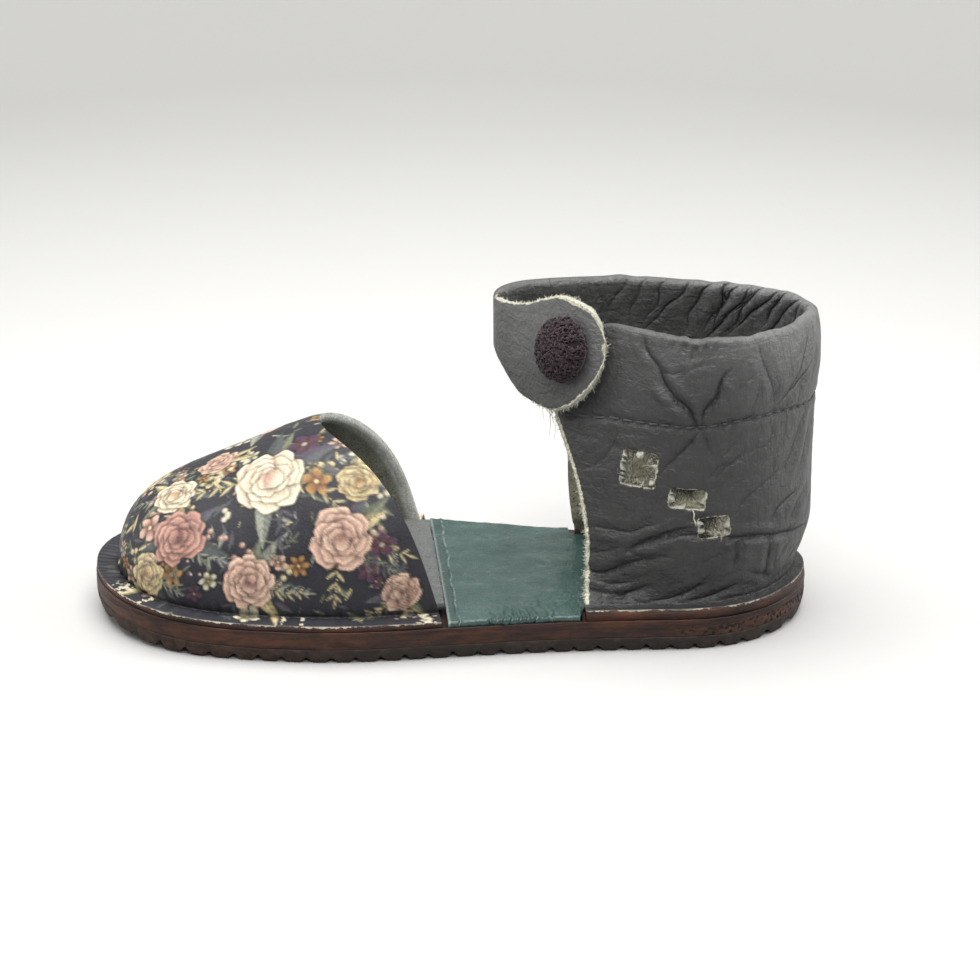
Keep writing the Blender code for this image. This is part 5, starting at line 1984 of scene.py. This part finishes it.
# How deep a point lies, for painted shade: less on the collar's leaf, more along the flange's foot.
sunk = np.clip(-quarter_sag, 0, 1)
sunk[collar_rows] *= LEAF_SHADE
foot_rows = slice(FLANGE_ROWS - 1, FLANGE_ROWS + 3)
sunk[foot_rows, round_heel] += FOOT_SHADE * (1 + 0.8 * soft_step(22, 34, round_mm))
line_table = columns(LINED)
line_share = steady(line_table["round"], line_table["share"], round_all)
write_attribute(quarter, "crease_side", crease_side[row, col])
write_attribute(quarter, "crease_deep", crease_deep[row, col])
write_attribute(quarter, "sunk", sunk[row, col])
write_attribute(quarter, "lined", line_share[col])
sheet_up = quarter_grid[:, :, 2].copy()
sheet_up[collar_rows] = 2 * COLLAR_TOP - sheet_up[collar_rows]
flat_places = np.stack([round_all[col], sheet_up[row, col], np.zeros(len(row))], axis=1) * MM
layer = quarter.data.attributes.new("on_sheet", "FLOAT_VECTOR", "POINT")
layer.data.foreach_set("vector", flat_places.astype(np.float32).ravel())
print("attributes:", [layer.name for layer in quarter.data.attributes])

# %% [markdown]
# The pale rim of the cut outline is widest at the tab's round end. The sheet stores how far each
# point is outside that rim.

# %% Distance from the cut outline
RIM_FRONT = 0.75
RIM_TAB = 0.85
RIM_TURN = 0.25
RIM_HOLE = 0.08
RIM_LOW_SHARE = 0.6
UNFOLDED = 0.35

front = (slice(FLANGE_ROWS, top_row - 10), slice(0, 12))
from_edge = np.full(sheet_size, FAR_AWAY)
from_edge[front] = distance_along(quarter_grid, axis=1)[front] - RIM_FRONT
climb = distance_along(quarter_grid[strap_rows, on_strap])
to_end = distance_along(quarter_grid[strap_rows, ::-1], axis=1)[:, STRAP_COLS:0:-1]
rim_wide = RIM_TURN + (RIM_TAB - RIM_TURN) * soft_step(0.55, 0.8, np.linspace(0, 1, STRAP_COLS))
single = soft_step(UNFOLDED, 0.1, strap_fold) * rim_wide
top_gap = climb[-1] - climb - single
low_gap = climb - RIM_LOW_SHARE * rim_wide
from_edge[strap_rows, on_strap] = np.minimum(np.minimum(top_gap, low_gap), to_end - rim_wide)
from_edge = np.minimum(from_edge, from_hole - RIM_HOLE)
write_attribute(quarter, "from_edge", from_edge[row, col])
print("points on the pale rim:", int((from_edge < 0).sum()))

# %% [markdown]
# The leather is a little over 1 mm thick, the flange with its glue is thicker, and the leaf inside
# is no thicker than its fold has room for. Solidify takes such shares from a vertex group.

# %% Thickness of the quarter
LEATHER = 1.25
FLANGE_SOLID = QUARTER_FLANGE + GAP - GLUE
CUT_FINISH = 2
FLANGE_FINISH = 3

thickness = np.full(sheet_size, LEATHER)
thickness[:FLANGE_ROWS] = FLANGE_SOLID
thickness[collar_rows] = np.minimum(LEATHER, 0.92 * fold + 0.05)
thick_group = quarter.vertex_groups.new(name="thick")
for weight in np.unique(thickness.round(3)):
    same = np.flatnonzero(thickness.round(3)[row, col] == weight)
    thick_group.add(same.tolist(), float(weight / FLANGE_SOLID), "REPLACE")


def not_leather(faces):
    """Faces of the grid beside the strap, past the collar's fold, and in the holes."""
    found = []
    for face in faces:
        corners = list(face.vertices)
        low = row[corners].min()
        last = col[corners].max()
        beside = last > WALL_COLS and low < strap_row
        unfolded = low >= top_row and fold[last] < UNFOLDED
        cut = from_hole[row[corners], col[corners]].mean() < -0.01
        found.append(beside or unfolded or cut)
    return found


pick_in_edit_mode(quarter, "FACE", not_leather)
bpy.ops.mesh.delete(type="FACE")
bpy.ops.object.mode_set(mode="OBJECT")
thicken(quarter, FLANGE_SOLID, "thick")
there = points_of(quarter) / MM - SHIFT
write_attribute(quarter, "below_rim", flange_top(there[:, 0], QUARTER_FLANGE) - there[:, 2])
for face in quarter.data.polygons:
    if face.material_index == CUT_FINISH:
        x, _, z = np.array(face.center) / MM - SHIFT
        if z < flange_top(x, QUARTER_FLANGE) - 2 * ON_FLANGE:
            face.material_index = FLANGE_FINISH
smooth_faces(quarter)

# %% [markdown]
# ## Many small things
#
# Stitches, loose fibres and yarn loops are hundreds of small shapes. One object for each would be
# slow, so each kind is one mesh, and its vertices come from arrays: a thin tube round every path.

# %% Tubes from arrays


def one_mesh(name, points_mm, faces):
    """A piece made from arrays, with its place in the mesh."""
    data = bpy.data.meshes.new(name)
    data.from_pydata(((points_mm + SHIFT) * MM).tolist(), [], faces)
    piece = bpy.data.objects.new(name, data)
    bpy.context.scene.collection.objects.link(piece)
    smooth_faces(piece)
    return piece


def tubes(name, paths, radii, sides):
    """Thin closed tubes as one mesh: a row of points for each, and a radius for each point of a row."""
    count, steps, _ = paths.shape
    along = unit(np.gradient(paths, axis=1))
    aside = unit(np.cross(along, (0.31, 0.77, 0.55)))
    across = np.cross(along, aside)
    turn = 2 * np.pi * np.arange(sides) / sides
    circle = aside[:, :, None] * np.cos(turn)[:, None] + across[:, :, None] * np.sin(turn)[:, None]
    points = paths[:, :, None] + np.asarray(radii)[:, None, None] * circle
    start = np.arange(count)[:, None, None] * steps * sides
    low = start + np.arange(steps - 1)[:, None] * sides + np.arange(sides)
    beside = start + np.arange(steps - 1)[:, None] * sides + (np.arange(sides) + 1) % sides
    quads = np.stack([low, beside, beside + sides, low + sides], axis=-1).reshape(-1, 4)
    first = (start[:, 0] + np.arange(sides))[:, ::-1]
    last = start[:, 0] + (steps - 1) * sides + np.arange(sides)
    return one_mesh(name, points.reshape(-1, 3), quads.tolist() + first.tolist() + last.tolist())


def join_into(first, *others):
    """Make one piece of several. It keeps the first one's name."""
    pick_only(first, *others)
    bpy.ops.object.join()
    print(first.name, "faces:", len(first.data.polygons))


print("helpers for small things: one_mesh, tubes, join_into")

# %% [markdown]
# The thread of the collar's stitch line is dark grey. Each stitch comes out of the leather, lies
# on it for 1.4 mm and goes in again.

# %% Stitches
STITCH_LONG = 1.45
THREAD = 0.2
THREAD_ENDS = np.array((0.7, 1, 1, 1, 1, 1, 0.7))
THREAD_SIDES = 6
STITCH_FIRST = 0.6
STITCH_LAST = 2.0
STITCH_PROUD = 0.02

heel_wrap = quarter_shape[wall_rows, round_heel]
heel_wrap_out = outward_of(heel_wrap)


def on_wall(across_mm, height):
    """Point of the creased wall at a distance round the heel and a height, and the way out of it."""
    c = int(np.argmin(np.abs(round_mm - across_mm)))
    share = np.interp(across_mm, round_mm, np.arange(WALL_COLS + 1)) - c
    r = int(np.argmin(np.abs(up[:, c] - height)))
    beside = heel_wrap[r, min(c + 1, WALL_COLS)] if share > 0 else heel_wrap[r, max(c - 1, 0)]
    point = heel_wrap[r, c] + abs(share) * (beside - heel_wrap[r, c])
    point[2] += height - up[r, c]
    return point, heel_wrap_out[r, c]


stitch_paths = []
for begin in np.arange(STITCH_FIRST, round_mm[-1] - STITCH_LAST, STITCH_PITCH):
    path = []
    for step in np.linspace(0, 1, len(THREAD_ENDS)):
        at = begin + STITCH_LONG * step
        point, out = on_wall(at, float(steady(stitch_line["round"], stitch_line["z"], at)))
        path.append(point + out * (0.6 * THREAD * np.sin(np.pi * step) + STITCH_PROUD))
    stitch_paths.append(path)
stitches = tubes("collar_stitches", np.array(stitch_paths), THREAD * THREAD_ENDS, THREAD_SIDES)
thread = Finish("dark_thread", 0.7, Sheen_Weight=0.1)
twist = thread.grain(0.3, 3, 0.6)
thread.bumps((twist, 0.08))
dress(stitches, thread.paint(thread.mix(twist, (0.02, 0.02, 0.022), (0.06, 0.06, 0.062))))
print("stitches:", len(stitch_paths))

# %% [markdown]
# ## Button
#
# The button is covered with a dark maroon cloth of curly yarn. A dome is the start: a sphere that
# is cut in half, flattened and set on the strap. Small yarn loops stand all over it.

# %% Button dome
BUTTON_X = 20.6
BUTTON_Z = 54.0
BUTTON_WIDE = 11.9
BUTTON_TALL = 4.2
BUTTON_BULGE = 0.48
YARN = 0.145

bpy.ops.mesh.primitive_uv_sphere_add(segments=48, ring_count=24, radius=1)
button = bpy.context.object
button.name = "button_cloth"
button.data.name = "button_cloth"
pick_in_edit_mode(button, "VERT", every)
bpy.ops.mesh.bisect(plane_co=(0, 0, 0), plane_no=(0, 0, 1), clear_inner=True, use_fill=True)
bpy.ops.object.mode_set(mode="OBJECT")
outer_half = strap[:, STRAP_COLS // 2 :]
far = np.hypot(outer_half[:, :, 0] - BUTTON_X, outer_half[:, :, 2] - BUTTON_Z)
at_row, at_col = np.unravel_index(far.argmin(), far.shape)
button_out = outward_of(outer_half)[at_row, at_col]
button_up = unit(np.gradient(outer_half, axis=0)[at_row, at_col])
button_aside = np.cross(button_up, button_out)
button_foot = outer_half[at_row, at_col] + GAP * button_out
button_axes = np.stack([button_aside, button_up, button_out])
inner_wide = BUTTON_WIDE / 2 - YARN - 0.35
inner_tall = BUTTON_TALL - YARN - 0.45
ball = points_of(button)
ball[:, :2] *= (1 + BUTTON_BULGE * ball[:, 2:] * (1 - ball[:, 2:])) * inner_wide
ball[:, 2] *= inner_tall
move_points(button, ball @ button_axes + button_foot)
print("button foot in mm:", button_foot.round(1), "facing", button_out.round(2))

# %% [markdown]
# One small torus is the model of a loop. It is copied to spots that a sunflower's spiral spreads
# evenly over the dome, and each copy leans its own way.

# %% Yarn loops
LOOP = 0.35
LOOP_COUNT = 640
SPIRAL_TURN = 2.39996

chance = np.random.default_rng(21)
ring_steps = {"major_segments": 9, "minor_segments": 5}
bpy.ops.mesh.primitive_torus_add(major_radius=LOOP, minor_radius=YARN, **ring_steps)
model = bpy.context.object
loop_points = points_of(model)
loop_faces = np.array([list(face.vertices) for face in model.data.polygons])
bpy.data.objects.remove(model)
loop_places = []
for number in range(LOOP_COUNT):
    share = (number + 0.5) / LOOP_COUNT
    out = np.sqrt(share) * 0.999
    angle = number * SPIRAL_TURN + chance.normal() * 0.25
    rise = np.sqrt(1 - out**2)
    wide = inner_wide * out * (1 + BUTTON_BULGE * rise * (1 - rise))
    spot = np.array([wide * math.cos(angle), wide * math.sin(angle), inner_tall * rise + 0.1])
    normal = unit(np.array([spot[0] / inner_wide**2, spot[1] / inner_wide**2, rise / inner_tall + 1e-6]))
    lean = unit(np.cross(normal, chance.normal(size=3)))
    axis = unit(lean + normal * chance.uniform(-0.2, 0.9))
    first = unit(np.cross(axis, chance.normal(size=3)))
    size = chance.uniform(0.75, 1.2)
    turned = loop_points * size @ np.stack([first, np.cross(axis, first), axis])
    loop_places.append((turned + spot) @ button_axes + button_foot)
steps = np.arange(LOOP_COUNT)[:, None, None] * len(loop_points)
loops = one_mesh("yarn_loops", np.concatenate(loop_places), (loop_faces + steps).reshape(-1, 4).tolist())
write_attribute(loops, "yarn", np.repeat(chance.uniform(0, 1, LOOP_COUNT), len(loop_points)))
join_into(button, loops)
smooth_faces(button)

# %% [markdown]
# Wool yarn is matt and soft. Every loop has its own tone between two dark reds, which the mesh
# carries as an attribute, and lighter threads show where its ply turns.

# %% Maroon yarn
yarn = Finish("maroon_yarn", 0.85, 0.2, Sheen_Weight=0.2, Sheen_Roughness=0.5)
ply = yarn.grain(0.3, 3, 0.6)
yarn_tone = yarn.mix(yarn.read("yarn"), (0.01, 0.005, 0.007), (0.036, 0.018, 0.024))
yarn_tone = yarn.mix(yarn.spread(ply, 0.45, 0.75, 0, 0.5), yarn_tone, (0.06, 0.034, 0.041))
yarn.bumps((ply, 0.12), (yarn.grain(0.1, 2), 0.04))
button.data.materials.clear()
dress(button, yarn.paint(yarn_tone))

# %% [markdown]
# ## Raw edges
#
# Cut suede sheds fibres. They stand out of the tab's edge, the outer front edge of the heel wrap
# and the square holes. Each fibre starts inside the leather's thickness and curls a little.

# %% Fibres on an edge


def fibres(name, roots, ways, long_mm, thick_mm, loose, seed):
    """Short curled fibres from roots along ways, as one mesh. Loose is how far they stray."""
    chance = np.random.default_rng(seed)
    way = unit(ways + loose * chance.normal(size=ways.shape))
    curl = 0.5 * chance.normal(size=ways.shape)
    size = (long_mm * chance.uniform(0.3, 1.0, len(roots)) ** 1.5)[:, None, None]
    t = np.array((0, 0.35, 0.7, 1.0))[:, None]
    paths = roots[:, None] + size * (t * way[:, None] + t**2 * curl[:, None])
    return tubes(name, paths, thick_mm * np.array((1, 0.9, 0.7, 0.3)), 3)


def fluff_finish(name, dark, pale):
    """Loose suede fibres between two tones."""
    made = Finish(name, 0.95, 0.1, Sheen_Weight=0.3, Sheen_Roughness=0.6)
    made.bumps((made.grain(0.15, 2), 0.03))
    return made.paint(made.mix(made.grain(0.8, 3, 0.6), dark, pale))


def spread_on(line, out, way, count, thick_mm, chance):
    """Roots and directions for fibres along an edge, at any depth in the leather."""
    long = distance_along(line)
    at = np.interp(chance.uniform(0, long[-1], count), long, np.arange(len(line)))
    low = np.minimum(at.astype(int), len(line) - 2)
    part = (at - low)[:, None]

    def between(values):
        """Values of the edge's points, read between them."""
        return values[low] * (1 - part) + values[low + 1] * part

    roots = between(line) - between(out) * chance.uniform(0.05, 0.95, count)[:, None] * thick_mm
    return roots, unit(between(way))


print("fibre helpers: fibres, fluff_finish, spread_on")

# %% Fibres on the tab and the front
FIBRE_THICK = 0.06
ROOTED = 0.1
TAB_TOP_COL = WALL_COLS + 26
TAB_LOW_COL = WALL_COLS + 41

chance = np.random.default_rng(31)
shape_out = outward_of(quarter_shape)
to_next_row = unit(np.gradient(quarter_shape, axis=0))
to_next_col = unit(np.gradient(quarter_shape, axis=1))
tab_top = (slice(top_row, top_row + 1), slice(TAB_TOP_COL, None))
tab_low = (slice(strap_row, strap_row + 1), slice(TAB_LOW_COL, None))
tab_end = (strap_rows, slice(-1, None))
wall_front = (slice(FLANGE_ROWS + 1, top_row - 8), slice(0, 1))
EDGES = (
    ("where", "way", "count", "long"),
    (tab_top, to_next_row, 420, 0.5),
    (tab_low, -to_next_row, 620, 0.65),
    (tab_end, to_next_col, 160, 0.65),
    (wall_front, -to_next_col, 700, 0.7),
)
edge_pieces = []
for number, (where, way, count, long_mm) in enumerate(EDGES[1:]):
    edge_line, edge_out, edge_way = (of[where].reshape(-1, 3) for of in (quarter_shape, shape_out, way))
    roots, ways = spread_on(edge_line, edge_out, edge_way, count, LEATHER, chance)
    roots = roots - ROOTED * ways
    edge_pieces.append(fibres("edge_fibres", roots, ways, long_mm, FIBRE_THICK, 0.5, 40 + number))
print("fibres on the edges:", sum(columns(EDGES)["count"]))

# %% [markdown]
# In the holes the knife left a fringe of suede. It reaches in from all sides of the first hole, and
# from below and behind in the others. The nearly black fibres are painted shadow: they stand for the
# shade inside the holes.

# %% Fibres in the holes
FRINGES = (
    ("hole", "count", "mainly", "scatter", "long", "name", "dark", "pale"),
    (1, 240, 0.0, 9.0, 1.6, "beige_fibre", (0.13, 0.125, 0.08), (0.52, 0.5, 0.38)),
    # Nearly black fibres: painted shadow inside the holes.
    (1, 60, 0.0, 9.0, 3.4, "dark_fibre", (0.01, 0.01, 0.008), (0.06, 0.06, 0.045)),
    (2, 170, 2.1, 0.7, 2.4, "darker_fibre", (0.008, 0.008, 0.006), (0.04, 0.04, 0.03)),
    (2, 150, -1.0, 0.8, 1.8, "suede_fibre", (0.2, 0.19, 0.12), (0.62, 0.6, 0.46)),
    (3, 190, 2.4, 0.8, 2.6, "darkest_fibre", (0.004, 0.004, 0.004), (0.02, 0.02, 0.016)),
    (3, 120, -0.6, 0.7, 1.8, "torn_fibre", (0.3, 0.29, 0.22), (0.75, 0.73, 0.6)),
)
FRINGE_THICK = 0.09

for number, (hole, count, mainly, scatter, long_mm, *look) in enumerate(FRINGES[1:]):
    x, z, wide, tall, turn = HOLES[hole]
    centre, first, second, out = hole_frame(x, z, turn)
    bearing = chance.normal(mainly, scatter, count)
    across_hole = np.abs(np.cos(bearing)) / (wide / 2)
    up_hole = np.abs(np.sin(bearing)) / (tall / 2)
    reach = (across_hole**5 + up_hole**5) ** -0.2
    spoke = np.cos(bearing)[:, None] * first + np.sin(bearing)[:, None] * second
    depth = chance.uniform(0.35, 1.3, count)[:, None]
    roots = centre + spoke * (reach - ROOTED)[:, None] - out * (depth + 0.2)
    fringe = fibres("hole_fibres", roots, -spoke - 0.3 * out, long_mm, FRINGE_THICK, 0.6, 50 + number)
    dress(fringe, fluff_finish(*look))
    edge_pieces.append(fringe)
print("fibres in the holes:", sum(columns(FRINGES)["count"]))

# %% [markdown]
# A thin torn strand joins the second hole and the third, and more strands hang from the tab's tip.
# All the fibres are then joined into one piece.

# %% Strands and one piece
TEAR = ((43.4, 27.6), (43.7, 26.8), (43.6, 26.0), (43.9, 25.2), (44.1, 24.4))
TEAR_THICK = 0.13 * np.array((0.6, 1, 0.8, 1.1, 0.5))
TEAR_PROUD = 0.15
TIP_STRANDS = 10
STRAND_THICK = 0.08
STRAND_LONG = 4.2
STRAND_WAY = (0.12, -0.05, -1.0)

tear_spots = [wall_spot(x, z) for x, z in TEAR]
tear = np.array([spot + TEAR_PROUD * out for spot, out in tear_spots])
edge_pieces.append(tubes("tear", tear[None], TEAR_THICK, 4))
tip_line = quarter_shape[tab_low].reshape(-1, 3)
tip_spot = tip_line[tip_line[:, 2].argmin()]
roots = tip_spot + chance.normal(size=(TIP_STRANDS, 3)) * (0.7, 0.3, 0.1)
hanging = np.tile(STRAND_WAY, (TIP_STRANDS, 1))
edge_pieces.append(fibres("tip_strands", roots, hanging, STRAND_LONG, STRAND_THICK, 0.15, 60))
pale_fibre = fluff_finish("loose_fibre", (0.34, 0.33, 0.25), (0.72, 0.7, 0.6))
for piece in edge_pieces:
    if not piece.data.materials:
        dress(piece, pale_fibre)
raw_fibres = edge_pieces[0]
raw_fibres.name = "raw_fibres"
join_into(*edge_pieces)

# %% [markdown]
# ## Pieces on the body
#
# Every piece rides on the sandal's one body. A piece that stands for a solid replaces it, and the
# solid is hidden.

# %% Every piece on the body
STANDS_FOR = (
    (outsole, "outsole"),
    (midsole, "midsole"),
    (felt, "insole_front"),
    (teal, "insole_rear"),
    (vamp, "vamp"),
    (quarter, "quarter"),
    (button, "button"),
)
for piece, node in STANDS_FOR:
    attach(piece, "root")
    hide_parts(node)
for piece, slot_name in ((stitches, "quarter"), (raw_fibres, "quarter")):
    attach(piece, "root")
